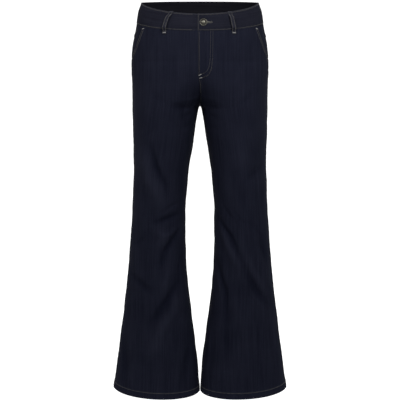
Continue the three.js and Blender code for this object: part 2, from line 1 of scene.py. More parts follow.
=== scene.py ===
import math
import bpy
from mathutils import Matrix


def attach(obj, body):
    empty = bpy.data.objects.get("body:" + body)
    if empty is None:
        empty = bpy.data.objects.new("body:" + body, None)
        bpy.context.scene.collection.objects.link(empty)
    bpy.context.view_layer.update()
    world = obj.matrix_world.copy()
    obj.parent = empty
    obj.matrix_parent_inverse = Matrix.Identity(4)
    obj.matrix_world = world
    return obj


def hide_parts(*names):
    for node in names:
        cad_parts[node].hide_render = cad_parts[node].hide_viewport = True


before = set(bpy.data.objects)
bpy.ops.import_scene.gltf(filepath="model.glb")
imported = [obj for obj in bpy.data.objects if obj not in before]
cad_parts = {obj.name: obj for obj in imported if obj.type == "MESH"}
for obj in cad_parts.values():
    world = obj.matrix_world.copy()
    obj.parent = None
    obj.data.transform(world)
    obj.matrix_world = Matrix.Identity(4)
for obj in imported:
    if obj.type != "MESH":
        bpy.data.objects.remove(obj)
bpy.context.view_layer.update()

from types import SimpleNamespace

import bpy
import numpy as np
from mathutils import Vector
from mathutils.bvhtree import BVHTree

# Flared jeans in dark rinse denim, filled out as when worn, with nobody in them. Lengths are in
# millimetres up to make_mesh(), which turns them into metres. +Z is up, -Y the front and +X the
# wearer's left; the origin is the middle of the waist opening.
MM = 0.001

# Form of the garment
CLOTH = 1.2  # one layer of denim
SEAM_GAP = 0.3
CROTCH = -280
FRONT_RISE_CURVE = 120
BACK_RISE_CURVE = 165

# Level, outer and inner edge seen from the front, y of the front and back, and y of the side line.
SECTIONS = np.array([
    (30, 157, 0, -97, 103, 3),
    (0, 163.5, 0, -100, 107, 3),
    (-20, 170.5, 0, -102, 109, 3),
    (-45, 175, 0, -105, 113, 4),
    (-75, 180.6, 0, -109, 118, 4),
    (-110, 187.8, 0, -113, 125, 5),
    (-150, 191.5, 0, -115, 132, 6),
    (-186, 191.5, 0, -115.5, 135, 7),
    (-225, 190, 0, -114.5, 132, 8),
    (-280, 190, 0, -111, 118, 8),
    (-284, 190, 3.6, -110.8, 117, 7.8),
    (-297, 189.7, 6.4, -110, 114, 7),
    (-320, 189.3, 10.3, -108.5, 109, 5),
    (-399, 187.3, 21.8, -102.5, 94, -2),
    (-444, 186.8, 29.5, -98.5, 87, -5),
    (-490, 188, 34.4, -94, 79, -7),
    (-581, 192.2, 40.7, -86.5, 68, -9),
    (-674, 199.2, 40.4, -81.5, 64, -9),
    (-767, 207.9, 36, -80, 66, -7),
    (-861, 219.2, 25.4, -80.5, 71, -5),
    (-956, 232.1, 13.5, -82.5, 77, -3),
    (-1052, 245.6, 3.4, -85.5, 82, -2),
    (-1112, 255, 0.8, -88, 86, -1),
])
INN_FROM = 9  # the first row with an inner edge of its own

WAIST_DIP, WAIST_CLIMB, WAIST_SHAPE = 33, 17, 1.3
BAND_HEIGHT, BAND_FRONT_LESS, BAND_SIDE_MORE, BAND_BACK_MORE = 51, 5, 6.5, 1.5
BAND_OUT, BAND_THICKNESS = 0.9, 2.6
BAND_END_X, BAND_UNDER_X = -6.5, 36
BAND_DIVE_FROM, BAND_DIVE_TO, BAND_DIVE_DEPTH = 21, 9, 3
BAND_LEVEL = -50
HEM_Z, HEM_INNER, HEM_FRONT, HEM_HEIGHT, HEM_STITCH, HEM_THICKNESS = -1097.5, 7, 7.5, 19.6, 18.1, 3
INSEAM_TURN, INSEAM_EASE = 8, 200
SIDE_TURN_HIP, SIDE_TURN_HEM = 176, 172
POCKET_TOP_X, POCKET_TOP_Z, POCKET_BOTTOM_Z = 157.5, -67, -155
POCKET_UNDER, POCKET_BOTTOM, POCKET_SUNK = 24, -178, 0.8
YOKE_SIDE, YOKE_EXTRA = 38, 40
LAYER_GAP = 0.85
FLY_SHIFT, FLY_FROM, FLY_TO, CROTCH_LAP = 4, -225, -195, 2.8
FLY_FACING, FLY_SHIELD, FLY_BOTTOM, FLY_TOP, FLY_ROUND = 40, 46, -206, -1, 34
ZIP_WIDTH, ZIP_TAPE, ZIP_CHAIN, ZIP_BOTTOM = 28, 1, 2.2, -196
PATCH_TURN, PATCH_Z, PATCH_TOP, PATCH_LOW, PATCH_SIDE, PATCH_POINT = 239, -132, 74, 63, 128, 26
PATCH_POWER, PATCH_TILT = 1.15, 3
# Belt loops: name, side, distance from the middle, whether on the back, lean and bend of the lean.
LOOPS = [
    ("belt_loop_front_left", 1, 90, False, 7, 1.1),
    ("belt_loop_front_right", -1, 94, False, 15, 2.2),
    ("belt_loop_side_left", 1, 118, True, 2, 1),
    ("belt_loop_side_right", -1, 118, True, 3, 1.4),
    ("belt_loop_back", 1, 0, True, 0, 1),
]
LOOP_WIDTH, LOOP_THICKNESS, LOOP_TACK, LOOP_BELOW, LOOP_SLACK, LOOP_RISE = 11, 1.6, 7, 12, 7, 0.17
BUTTON_X, BUTTON_Z, BUTTON_RADIUS = 9.2, -56.2, 10
EYE, SLIT, SLIT_WIDTH = 3.3, 23, 1.5
HALF_GAP_TURN = 0.1
MOUTH_HEM, PATCH_HEM, PATCH_FLAT = 10.5, 13.4, 0.93
FLARE_FROM, SHADE_TOP, SHADE_LOW = -230, -190, -325

# Rows of stitches, by their distance from an edge.
MOUTH_ROWS, SIDE_ROW, INSEAM_ROW, FLY_ROW, CROTCH_ROWS = (1.8, 8.2), 2.2, 7.6, 1.8, (1.8, 6.6)
SEAT_ROWS, PATCH_ROWS, PATCH_MOUTH_ROW = (2, 8.4), (2, 8.2), 11.6
BAND_ROW, BAND_LOW_ROW, LOOP_ROW = 3, 2.6, 1.7

# Folds of the whole cloth: side, three points (turn angle, z), half-width and height.
FOLDS = [
    (-1, (111, -388), (99, -446), (72, -512), 10, -3.4),
    (-1, (129, -399), (111, -481), (75, -565), 17, 3),
    (-1, (96, -601), (77, -593), (43, -578), 9, -2.6),
    (-1, (81, -726), (71, -678), (43, -628), 11, -3.4),
    (-1, (98, -617), (77, -642), (88, -677), 14, 2.4),
    (-1, (98, -888), (77, -838), (46, -774), 13, -3.6),
    (-1, (99, -984), (80, -898), (51, -830), 14, 2.8),
    (-1, (81, -805), (69, -763), (62, -714), 12, 2),
    (-1, (149, -748), (122, -772), (99, -797), 11, -2.4),
    (-1, (34, -958), (44, -1013), (50, -1075), 14, -2.4),
    (-1, (150, -935), (141, -1010), (137, -1080), 13, -2.4),
    (-1, (80, -276), (58, -286), (45, -331), 11, -1.6),
    (1, (32, -592), (63, -640), (92, -727), 10, -3.4),
    (1, (92, -727), (111, -785), (136, -840), 13, -3.4),
    (1, (27, -713), (53, -794), (62, -886), 11, -3),
    (1, (60, -870), (62, -930), (66, -975), 12, -2.2),
    (1, (38, -614), (57, -668), (78, -722), 12, 2.4),
    (1, (86, -624), (88, -656), (88, -691), 12, 1.8),
    (1, (95, -690), (112, -749), (137, -817), 12, 2.4),
    (1, (33, -748), (43, -796), (51, -837), 9, 1.8),
    (1, (131, -642), (136, -685), (144, -722), 11, -2),
    (1, (100, -330), (92, -410), (96, -500), 18, 1.6),
    (1, (99, -483), (123, -461), (141, -440), 12, -1.4),
    (-1, (322, -575), (285, -610), (240, -590), 12, -3.4),
    (-1, (318, -640), (280, -668), (232, -650), 13, -3),
    (-1, (318, -608), (282, -640), (238, -620), 12, 2.4),
    (-1, (300, -720), (262, -800), (222, -900), 16, -3),
    (-1, (250, -920), (262, -1000), (258, -1080), 17, -2.6),
    (1, (320, -560), (282, -598), (236, -585), 12, -3.2),
    (1, (322, -628), (284, -655), (238, -632), 13, -3.2),
    (1, (320, -594), (284, -626), (240, -610), 12, 2.4),
    (1, (232, -700), (270, -790), (306, -890), 16, -3),
    (1, (292, -920), (282, -1000), (286, -1080), 17, -2.6),
    (-1, (322, -318), (285, -345), (238, -338), 14, -2.8),
    (1, (320, -322), (284, -340), (240, -330), 14, -2.6),
]
# Finer creases: whiskers at the crotch, pulls at the hips and knees, and slack in the flare.
CREASES = [
    (-1, (30, -262), (48, -285), (66, -292), 7, -0.6),
    (-1, (24, -285), (40, -304), (60, -312), 7, -0.6),
    (-1, (34, -248), (52, -262), (70, -262), 6, 0.9),
    (-1, (18, -310), (34, -330), (52, -340), 7, -0.6),
    (1, (30, -258), (46, -280), (64, -290), 7, -0.6),
    (1, (24, -288), (42, -306), (60, -316), 7, -0.5),
    (1, (32, -244), (50, -258), (68, -262), 6, 0.8),
    (1, (18, -312), (34, -336), (54, -344), 7, -0.6),
    (-1, (120, -230), (110, -255), (92, -270), 8, -0.9),
    (1, (128, -240), (112, -262), (96, -280), 8, -0.8),
    (-1, (104, -330), (112, -350), (124, -360), 8, -1),
    (-1, (46, -548), (62, -556), (84, -574), 6, -1.2),
    (-1, (40, -612), (58, -632), (80, -640), 6, 1.2),
    (-1, (112, -620), (122, -650), (140, -668), 8, -1.3),
    (-1, (36, -700), (42, -740), (40, -790), 7, -1.3),
    (-1, (120, -830), (116, -880), (118, -960), 9, -1.3),
    (-1, (66, -960), (70, -1015), (72, -1075), 9, -1.2),
    (-1, (120, -960), (124, -1020), (122, -1085), 9, 1.2),
    (1, (40, -540), (58, -575), (80, -604), 6, -1.1),
    (1, (112, -600), (124, -630), (142, -650), 8, -1.2),
    (1, (70, -560), (84, -590), (104, -606), 7, -1),
    (1, (78, -830), (88, -900), (92, -980), 9, 1.4),
    (1, (112, -880), (116, -960), (112, -1060), 9, -1.3),
    (1, (34, -900), (38, -980), (36, -1080), 8, -1.3),
    (1, (140, -940), (142, -1000), (138, -1080), 9, -1.2),
    (-1, (330, -300), (306, -322), (276, -330), 7, -1.4),
    (-1, (326, -350), (300, -372), (262, -376), 8, -1.3),
    (1, (330, -300), (308, -318), (280, -328), 7, -1.3),
    (1, (328, -352), (298, -368), (264, -372), 8, -1.2),
    (-1, (308, -545), (276, -560), (238, -556), 7, -1.5),
    (1, (310, -530), (278, -552), (240, -548), 7, -1.4),
    (-1, (312, -690), (282, -712), (246, -706), 8, -1.2),
    (1, (312, -675), (284, -700), (246, -694), 8, -1.2),
    (-1, (288, -820), (276, -900), (284, -1000), 10, 1.3),
    (1, (250, -820), (258, -910), (250, -1010), 10, 1.3),
    (-1, (212, -640), (206, -700), (210, -780), 9, -1.3),
    (1, (212, -620), (204, -690), (210, -770), 9, -1.3),
]
SIDES = ((1, "left"), (-1, "right"))
FOLD_MM_PER_DEGREE = 1.5
TROUGH_WIDTH, TROUGH_DEPTH, RIDGE_HEIGHT = 0.86, 1.7, 1.6


def lerp(a, b, t):
    return a + (b - a) * t


def smooth(t):
    k = np.clip(t, 0, 1)
    return k * k * (3 - 2 * k)


def bump_at(distance, width):
    """A soft bump, 1 high in its middle."""
    return np.exp(-((distance / width) ** 2))


def unit(vectors):
    return vectors / np.linalg.norm(vectors, axis=-1, keepdims=True)


def raised(base, normal, height):
    return base + normal * height[..., None]


def run_along(points):
    """Distance of each point of a line from its start."""
    return np.concatenate(([0], np.cumsum(np.linalg.norm(np.diff(points, axis=0), axis=-1))))


def at_marks(marks, run, values):
    """Values of a line, such as its points, at some distances along it."""
    return np.stack([np.interp(marks, run, part) for part in values.T], -1)


def column(index, first=0):
    """A smooth curve through one column of the sections, without overshoot."""
    x = -SECTIONS[first:, 0]
    y = SECTIONS[first:, index]
    slopes = np.diff(y) / np.diff(x)
    before, after = slopes[:-1], slopes[1:]
    product = before * after
    total = np.where(product > 0, before + after, 1)
    tangents = np.concatenate(([slopes[0]], np.where(product > 0, 2 * product / total, 0), [slopes[-1]]))

    def at(z):
        v = np.clip(-np.asarray(z, float), x[0], x[-1])
        i = np.clip(np.searchsorted(x, v) - 1, 0, len(x) - 2)
        h = x[i + 1] - x[i]
        t = (v - x[i]) / h
        bent = y[i] * (1 + 2 * t) * (1 - t) ** 2 + y[i + 1] * t * t * (3 - 2 * t)
        return bent + h * (tangents[i] * t * (1 - t) ** 2 - tangents[i + 1] * t * t * (1 - t))

    return at


out_at = column(1)
inn_at = column(2, INN_FROM)
front_at = column(3)
back_at = column(4)
mid_at = column(5)


def ellipse(z, front):
    out = out_at(z)
    inn = inn_at(z)
    curve = np.where(front, FRONT_RISE_CURVE, BACK_RISE_CURVE)
    reach = 1 - np.clip((z - CROTCH) / curve, 0, 1)
    leg = z <= CROTCH
    centre = np.where(leg, (out + inn) / 2, reach * out / (1 + reach)) + SEAM_GAP / 2
    half = np.where(leg, (out - inn) / 2, out / (1 + reach))
    return centre, half


def turn_at_x(z, x, front):
    centre, half = ellipse(z, front)
    turn = np.degrees(np.arccos(np.clip((centre - x) / half, -1, 1)))
    return np.where(front, turn, 360 - turn)


def fold_height(side, turn, z, folds):
    total = np.zeros(np.broadcast(turn, z).shape)
    for fold_side, a, b, c, width, height in folds:
        if fold_side != side:
            continue
        nearest = np.full(total.shape, 1e9)
        along = np.zeros(total.shape)
        for i, (start, end) in enumerate(((a, b), (b, c))):
            run_x = (end[0] - start[0]) * FOLD_MM_PER_DEGREE
            run_z = end[1] - start[1]
            to_x = (turn - start[0]) * FOLD_MM_PER_DEGREE
            to_z = z - start[1]
            t = np.clip((to_x * run_x + to_z * run_z) / (run_x**2 + run_z**2), 0, 1)
            distance = np.hypot(to_x - t * run_x, to_z - t * run_z)
            closer = distance < nearest
            nearest = np.where(closer, distance, nearest)
            along = np.where(closer, (i + t) / 2, along)
        fade = 0.25 + 0.75 * np.sin(np.pi * along)
        if height < 0:
            total += height * TROUGH_DEPTH * fade * bump_at(nearest, width * TROUGH_WIDTH)
        else:
            total += height * RIDGE_HEIGHT * fade * bump_at(nearest, width)
    return total


def plain(side, turn, z):
    """A point of the cloth's smooth outer face, before its folds."""
    turn, z = np.broadcast_arrays(np.asarray(turn, float), np.asarray(z, float))
    front = turn % 360 <= 180
    centre, half = ellipse(z, front)
    mid = mid_at(z)
    depth = np.where(front, mid - front_at(z), back_at(z) - mid)
    angle = np.radians(turn)
    return np.stack((side * (centre - half * np.cos(angle)), mid - depth * np.sin(angle), z), -1)


def plain_normal(side, turn, z, step=0.4):
    across = plain(side, turn + step, z) - plain(side, turn - step, z)
    up = plain(side, turn, z + step) - plain(side, turn, z - step)
    return unit(np.cross(across, up) * side)


def surface(side, turn, z):
    """Point and normal of the cloth's smooth outer face."""
    return plain(side, turn, z), plain_normal(side, turn, z)


def on_front(x, z):
    """The same on the front, by x and z."""
    return surface(1, turn_at_x(z, x, True), z)


def walk(side, turn, z, distance, steps=6):
    """The turn angle that lies a distance along the cloth from another one, at one level."""
    at = np.asarray(turn, float)
    for _ in range(steps):
        degree = np.linalg.norm(plain(side, at + 0.5, z) - plain(side, at - 0.5, z), axis=-1)
        at = at + distance / steps / degree
    return at


def waist_curve(turn):
    s = np.sin(np.radians(turn))
    return np.where(s > 0, -WAIST_DIP, WAIST_CLIMB) * np.abs(s) ** WAIST_SHAPE


def waist_seam(turn):
    s = np.maximum(0, np.sin(np.radians(turn)))
    return waist_curve(turn) - BAND_HEIGHT + BAND_FRONT_LESS * s**2


def top_edge(turn):
    middle = np.where(np.sin(np.radians(turn)) > 0, 0, BAND_BACK_MORE)
    return waist_curve(turn) + lerp(middle, BAND_SIDE_MORE, np.cos(np.radians(turn)) ** 2)


def yoke_seam(turn):
    return waist_seam(turn) - YOKE_SIDE - YOKE_EXTRA * (1 + np.cos(np.radians(turn)))


def hem_edge(turn):
    angle = np.radians(turn)
    return HEM_Z - HEM_INNER * np.cos(angle) - HEM_FRONT * np.sin(angle)


def inseam(z):
    return INSEAM_TURN * smooth((CROTCH - z) / INSEAM_EASE)


def side_seam(z):
    return lerp(SIDE_TURN_HIP, SIDE_TURN_HEM, smooth((CROTCH - z) / (CROTCH - HEM_Z)))


def pocket_edge(z):
    fall = (POCKET_TOP_Z - z) / (POCKET_TOP_Z - POCKET_BOTTOM_Z)
    x = lerp(POCKET_TOP_X, out_at(POCKET_BOTTOM_Z) - SEAM_GAP / 3, fall)
    return np.minimum(turn_at_x(z, x, True), side_seam(z))


def front_end(z):
    return np.where(z > POCKET_BOTTOM_Z, pocket_edge(z), side_seam(z))


def crotch_lap(z):
    """How much of its width the right front laps under the left one, between crotch and fly."""
    return smooth((z - CROTCH) / 14) * smooth((FLY_TO - z) / (FLY_TO - FLY_FROM))


def fly_edge(side, z):
    share = smooth((z - FLY_FROM) / (FLY_TO - FLY_FROM))
    under = 0 if side > 0 else CROTCH_LAP * crotch_lap(z)
    return lerp(SEAM_GAP / 2, -FLY_SHIFT if side > 0 else FLY_SHIFT + SEAM_GAP, share) - under


def edge_turn(side, front, edge, z):
    """Turn angle of a panel's inner or side edge."""
    if edge == "side":
        return front_end(z) - HALF_GAP_TURN if front else side_seam(z) + HALF_GAP_TURN
    leg = inseam(z) + HALF_GAP_TURN if front else 360 + inseam(z) - HALF_GAP_TURN
    body = turn_at_x(z, fly_edge(side, z) if front else SEAM_GAP / 2, front)
    return np.where(z <= CROTCH, leg, body)


def ripple(seed, side, turn, z, low, high, count):
    """Slow unevenness of hanging cloth, a sum of slanted waves with wavelengths from low to high."""
    rng = np.random.default_rng(seed)
    x = turn * FOLD_MM_PER_DEGREE * side
    total = np.zeros(np.broadcast(turn, z).shape)
    for _ in range(count):
        wave = 2 * math.pi / rng.uniform(low, high)
        angle = rng.uniform(0, math.pi)
        total += np.sin(wave * (x * math.cos(angle) + z * math.sin(angle)) + rng.uniform(0, 6.3))
    return total / math.sqrt(count)


# Meshes
SURFACES = {}
PIECES = {}
CLOTH_SHIFT = (0.71, 0.39)  # metres between the cuts of two pieces, so that no two look alike


def mesh_object(name, points, faces, materials):
    """A smooth-shaded object in the scene, from points in metres."""
    mesh = bpy.data.meshes.new(name)
    mesh.from_pydata(points, [], faces)
    for material in materials:
        mesh.materials.append(material)
    mesh.polygons.foreach_set("use_smooth", np.ones(len(mesh.polygons), bool))
    made = bpy.data.objects.new(name, mesh)
    bpy.context.scene.collection.objects.link(made)
    return made


def make_mesh(name, points, faces, materials, uv=None, face_material=None, sharp=48):
    """One piece from points in millimetres. uv is in metres of cloth."""
    made = mesh_object(name, (points * MM).tolist(), faces, materials)
    mesh = made.data
    if face_material is not None:
        mesh.polygons.foreach_set("material_index", face_material.astype(np.int32))
    if uv is not None:
        uv = uv + np.array(CLOTH_SHIFT) * len(PIECES)
        corners = np.empty(len(mesh.loops), np.int32)
        mesh.loops.foreach_get("vertex_index", corners)
        cloth = mesh.uv_layers.new(name="cloth")
        cloth.data.foreach_set("uv", uv.astype(np.float32)[corners].ravel())
    mesh.update()
    mesh.set_sharp_from_angle(angle=math.radians(sharp))
    PIECES[name] = made
    return made


def grid_quads(rows, columns, start, flip):
    r, c = np.meshgrid(np.arange(rows - 1), np.arange(columns - 1), indexing="ij")
    a = (start + r * columns + c).ravel()
    quads = np.stack((a, a + 1, a + columns + 1, a + columns), -1)
    return quads[:, ::-1] if flip else quads


def rim_quads(rows, columns, flip):
    """The narrow faces that join the outer and inner grid round their edge."""
    top = np.arange(columns)
    right = np.arange(rows) * columns + columns - 1
    bottom = (rows - 1) * columns + top[::-1]
    left = (right - columns + 1)[::-1]
    ring = np.concatenate((top, right[1:], bottom[1:], left[1:]))
    a, b = ring[:-1], ring[1:]
    inner = rows * columns
    quads = np.stack((b, a, a + inner, b + inner), -1)
    return quads[:, ::-1] if flip else quads


def shell(name, outer, inner, uv, materials, **attributes):
    """A closed sheet of cloth between two grids of points. Its inner face has a material of its own."""
    rows, columns = outer.shape[:2]
    r, c = rows // 2, columns // 2
    facing = np.cross(outer[r, c + 1] - outer[r, c], outer[r + 1, c] - outer[r, c])
    flip = float(facing @ (outer[r, c] - inner[r, c])) < 0
    points = np.concatenate((outer.reshape(-1, 3), inner.reshape(-1, 3)))
    outside = grid_quads(rows, columns, 0, flip)
    inside = grid_quads(rows, columns, rows * columns, not flip)
    rim = rim_quads(rows, columns, flip)
    faces = np.concatenate((outside, inside, rim)).tolist()
    kinds = np.concatenate((np.zeros(len(outside)), np.ones(len(inside)), np.zeros(len(rim))))
    made = make_mesh(f"{name}_cloth", points, faces, materials, np.tile(uv.reshape(-1, 2), (2, 1)), kinds)
    for key, values in attributes.items():
        both = np.concatenate((values.ravel(), np.zeros(values.size)))
        made.data.attributes.new(key, "FLOAT", "POINT").data.foreach_set("value", both.astype(np.float32))
    SURFACES[name] = BVHTree.FromPolygons(outer.reshape(-1, 3).tolist(), outside.tolist())
    return made


def resample(side, place, rows, count, edge):
    """Columns at fixed distances from both edges and even between, row by row along the cloth."""
    dense = np.linspace(0, 1, 181)
    turn, z, length = [], [], []
    for w in rows:
        run = run_along(plain(side, *place(dense, w)))
        middle = np.linspace(edge[-1], run[-1] - edge[-1], count - 2 * len(edge) + 2)[1:-1]
        length.append(np.concatenate((edge, middle, run[-1] - edge[::-1])))
        row_turn, row_z = place(np.interp(length[-1], run, dense), w)
        turn.append(row_turn)
        z.append(row_z)
    length = np.array(length)
    return np.array(turn), np.array(z), length, length[:, -1:] - length


LEDGE, LEDGE_SUNK, LEDGE_THICKNESS, LEDGE_START = 2.6, 0.15, 0.7, 0.03
LEDGE_GAP = 0.02  # between a piece's edge and the step down to its allowance


def run_under(grids, edge, taper=1):
    """Lets one edge of a piece run on under its neighbour, as its seam allowance does."""

    def turned(grid):
        if edge == "top":
            return np.swapaxes(grid, 0, 1)
        return grid[:, ::-1] if edge == "start" else grid

    grids = [turned(grid) for grid in grids]
    base, normal, fold = (grid[:, -1] for grid in grids[:3])
    away = unit(base - grids[0][:, -3])
    added = []
    for reach in (LEDGE_START, LEDGE):
        spot = base + away * np.atleast_1d(LEDGE_GAP + reach * taper)[:, None]
        top = raised(spot, normal, fold - CLOTH - LEDGE_SUNK)
        under = top - normal * LEDGE_THICKNESS
        added.append((spot, normal, fold, top, under, *(grid[:, -1] for grid in grids[5:])))
    return [turned(np.concatenate((g, a[:, None], b[:, None]), 1)) for g, a, b in zip(grids, *added)]


# Materials
TWILL = 0.0012  # metres from one diagonal rib to the next
TWILL_LEAN = math.radians(27)  # of the ribs from the warp
TAPE_RIB, THREAD_TWIST = 0.0009, 0.0005
WAVE_PERIOD = math.pi / 10  # of a wave texture at scale 1


def new_material(name):
    material = bpy.data.materials.new(name)
    material.use_nodes = True
    return material, material.node_tree


def fill(tree, made, inputs):
    """Gives a node's inputs constants, or links from other nodes' outputs."""
    for key, value in inputs.items():
        if isinstance(value, bpy.types.NodeSocket):
            tree.links.new(value, made.inputs[key])
        else:
            made.inputs[key].default_value = value


def node(tree, kind, inputs=None, output=0, **settings):
    """Adds a node and returns one of its outputs."""
    made = tree.nodes.new(kind)
    for key, value in settings.items():
        setattr(made, key, value)
    fill(tree, made, inputs or {})
    return made.outputs[output]


def shade(tree, inputs):
    fill(tree, tree.nodes["Principled BSDF"], inputs)


def maths(tree, operation, a, b, clamp=False):
    return node(tree, "ShaderNodeMath", {0: a, 1: b}, operation=operation, use_clamp=clamp)


def weighted(tree, terms, extra=0, clamp=False):
    """The sum of outputs, each times its weight, and of a constant."""
    total, *rest = [maths(tree, "MULTIPLY", output, weight) for output, weight in terms]
    for product in rest:
        total = maths(tree, "ADD", total, product)
    return maths(tree, "ADD", total, extra, clamp)


def noise(tree, vector, scale, detail, roughness):
    inputs = {"Vector": vector, "Scale": scale, "Detail": detail, "Roughness": roughness}
    return node(tree, "ShaderNodeTexNoise", inputs, "Fac")


def ribs(tree, vector, period, direction="X", uneven=None):
    """Parallel ribs, a period in metres apart."""
    inputs = {"Vector": vector, "Scale": WAVE_PERIOD / period, **(uneven or {})}
    return node(tree, "ShaderNodeTexWave", inputs, "Fac", wave_type="BANDS", bands_direction=direction)


def mapped(tree, vector, scale=(1, 1, 1), rotation=0.0):
    inputs = {"Vector": vector, "Scale": scale, "Rotation": (0, 0, rotation)}
    return node(tree, "ShaderNodeMapping", inputs)


def mix_colour(tree, share, a, b):
    a, b = ((*end, 1) if isinstance(end, tuple) else end for end in (a, b))
    return node(tree, "ShaderNodeMix", {0: share, 6: a, 7: b}, 2, data_type="RGBA")


def bump(tree, height, strength, distance, **after):
    inputs = {"Height": height, "Strength": strength, "Distance": distance, **after}
    return node(tree, "ShaderNodeBump", inputs)


def denim(name, dark, light, worn, rib=0.55, roughness=0.9):
    """Twill: ribs of warp yarn with pale weft between, slubs down the warp, and cloudy dye; the fade
    attribute adds painted light and shade of the folds and the crotch.
    """
    material, tree = new_material(name)
    uv = node(tree, "ShaderNodeUVMap", uv_map="cloth")
    # fade: painted light and shade of the folds and painted shade above the crotch, the ridges' paleness
    # partly also rubbed dye.
    fade = node(tree, "ShaderNodeAttribute", None, "Fac", attribute_name="fade")
    wear = node(tree, "ShaderNodeAttribute", None, "Fac", attribute_name="wear")
    uneven = {"Distortion": 0.9, "Detail": 1.0, "Detail Scale": 1.6}
    warp = ribs(tree, mapped(tree, uv, rotation=TWILL_LEAN), TWILL, "X", uneven)
    weft = noise(tree, mapped(tree, uv, (1, 2.2, 1)), 900, 1.5, 0.6)
    slub = noise(tree, mapped(tree, uv, (420, 9, 1)), 1, 2.5, 0.55)
    streak = noise(tree, mapped(tree, uv, (95, 5, 1)), 1, 3, 0.6)
    cloud = noise(tree, uv, 16, 4, 0.6)
    speck = maths(tree, "MULTIPLY", maths(tree, "SUBTRACT", 1, warp), weft)
    share = weighted(tree, ((speck, 0.6), (slub, 0.9), (streak, 0.4), (cloud, 0.3)), -0.645, True)
    colour = mix_colour(tree, maths(tree, "ADD", share, fade, True), dark, light)
    rub = maths(tree, "MULTIPLY", wear, weighted(tree, ((weft, 1.1),), 0.35), True)
    weave = bump(tree, weighted(tree, ((warp, rib), (weft, 0.5))), 0.55, 0.00022)
    shade(tree, {
        "Base Color": mix_colour(tree, rub, colour, worn),
        "Roughness": weighted(tree, ((slub, 0.12),), roughness - 0.06, True),
        "Specular IOR Level": 0.02,
        "Normal": bump(tree, slub, 0.35, 0.0003, Normal=weave),
    })
    return material


def thread(name, dark, light):
    """Cotton-wrapped topstitching thread, with a fine twist."""
    material, tree = new_material(name)
    place = node(tree, "ShaderNodeTexCoord", None, "Object")
    share = weighted(tree, ((noise(tree, place, 1400, 2, 0.6), 0.6), (noise(tree, place, 60, 2, 0.5), 0.4)))
    shade(tree, {
        "Base Color": mix_colour(tree, share, dark, light),
        "Roughness": 0.72,
        "Specular IOR Level": 0.25,
        "Normal": bump(tree, ribs(tree, place, THREAD_TWIST, "DIAGONAL"), 0.4, 0.00012),
    })
    return material


def brass(name, dark, light, roughness):
    """Antique brass, darker and duller in patches."""
    material, tree = new_material(name)
    stain = noise(tree, node(tree, "ShaderNodeTexCoord", None, "Object"), 420, 4, 0.6)
    shade(tree, {
        "Base Color": mix_colour(tree, maths(tree, "MULTIPLY", stain, 1.1, True), dark, light),
        "Metallic": 0.9,
        "Roughness": weighted(tree, ((stain, 0.22),), roughness - 0.1, True),
        "Normal": bump(tree, stain, 0.25, 0.0001),
    })
    return material


def tape(name, dark, light):
    """Woven zip tape with a fine herringbone."""
    material, tree = new_material(name)
    uv = node(tree, "ShaderNodeUVMap", uv_map="cloth")
    rib = ribs(tree, mapped(tree, uv, rotation=math.radians(45)), TAPE_RIB, "X", {"Distortion": 0.5})
    shade(tree, {
        "Base Color": mix_colour(tree, rib, dark, light),
        "Roughness": 0.85,
        "Specular IOR Level": 0.2,
        "Normal": bump(tree, rib, 0.5, 0.00015),
    })
    return material


DENIM = denim("denim_outside", (0.0035, 0.0042, 0.0090), (0.0125, 0.0139, 0.0236), (0.045, 0.048, 0.060))
DENIM_BAND = denim(
    "denim_waistband", (0.0044, 0.0048, 0.0088), (0.0146, 0.0155, 0.0235), (0.05, 0.052, 0.061)
)
DENIM_INSIDE = denim("denim_inside", (0.022, 0.024, 0.030), (0.060, 0.064, 0.078), (0.08, 0.085, 0.1), 0.4)
DENIM_LOOP = denim("denim_loops", (0.0075, 0.008, 0.0125), (0.023, 0.024, 0.034), (0.06, 0.062, 0.072))
# The band's inner face: a copy of the denim painted much darker than the cloth's pale reverse, as painted
# shade inside the band.
BAND_INSIDE_PAINTED_SHADE = denim(
    "waistband_inside_painted_shade", (0.0028, 0.0029, 0.0048), (0.0105, 0.0105, 0.014), (0.025, 0.025, 0.029), 0.4
)
THREAD = thread("topstitch_thread", (0.033, 0.032, 0.031), (0.092, 0.088, 0.074))
THREAD_FAINT = thread("fly_thread", (0.020, 0.020, 0.022), (0.056, 0.055, 0.050))
THREAD_LOOP = thread("loop_thread", (0.05, 0.05, 0.048), (0.12, 0.117, 0.10))
THREAD_NAVY = thread("seam_thread", (0.006, 0.007, 0.011), (0.018, 0.019, 0.025))
THREAD_BAR = thread("bartack_thread", (0.10, 0.10, 0.10), (0.20, 0.20, 0.20))
THREAD_EYE = thread("buttonhole_thread", (0.10, 0.10, 0.095), (0.20, 0.198, 0.185))
BRASS = brass("antique_brass", (0.026, 0.026, 0.022), (0.105, 0.103, 0.086), 0.42)
BRASS_DARK = brass("antique_brass_dark", (0.006, 0.006, 0.006), (0.026, 0.026, 0.023), 0.5)
ZIP_METAL = brass("zip_teeth", (0.09, 0.08, 0.055), (0.3, 0.26, 0.17), 0.38)
ZIP_CLOTH = tape("zip_tape", (0.008, 0.009, 0.014), (0.02, 0.022, 0.032))
CLOTH_FACES = [DENIM, DENIM_INSIDE]


def settle(made, node_name):
    """Rides on the garment's one body and stands for a solid of the frame."""
    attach(made, "root")
    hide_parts(node_name)
    return made


def declare_sheets():
    for name, piece in PIECES.items():
        if not name.endswith("_cloth"):
            continue


# Relief along edges and seams
def edge_round(distance, depth=0.5, width=0.55):
    return -depth * bump_at(distance, width)


def felled(distance, height=0.75, width=10):
    """The raised strip of a felled seam, from its edge to where it ends."""
    return height * smooth((width + 0.9 - distance) / 1.8)


def stitch_dip(distance, at, depth=0.3, width=0.9):
    return -depth * bump_at(distance - at, width)


def dips(distance, rows):
    """What several rows of stitches press into the cloth."""
    return sum(stitch_dip(distance, row) for row in rows)


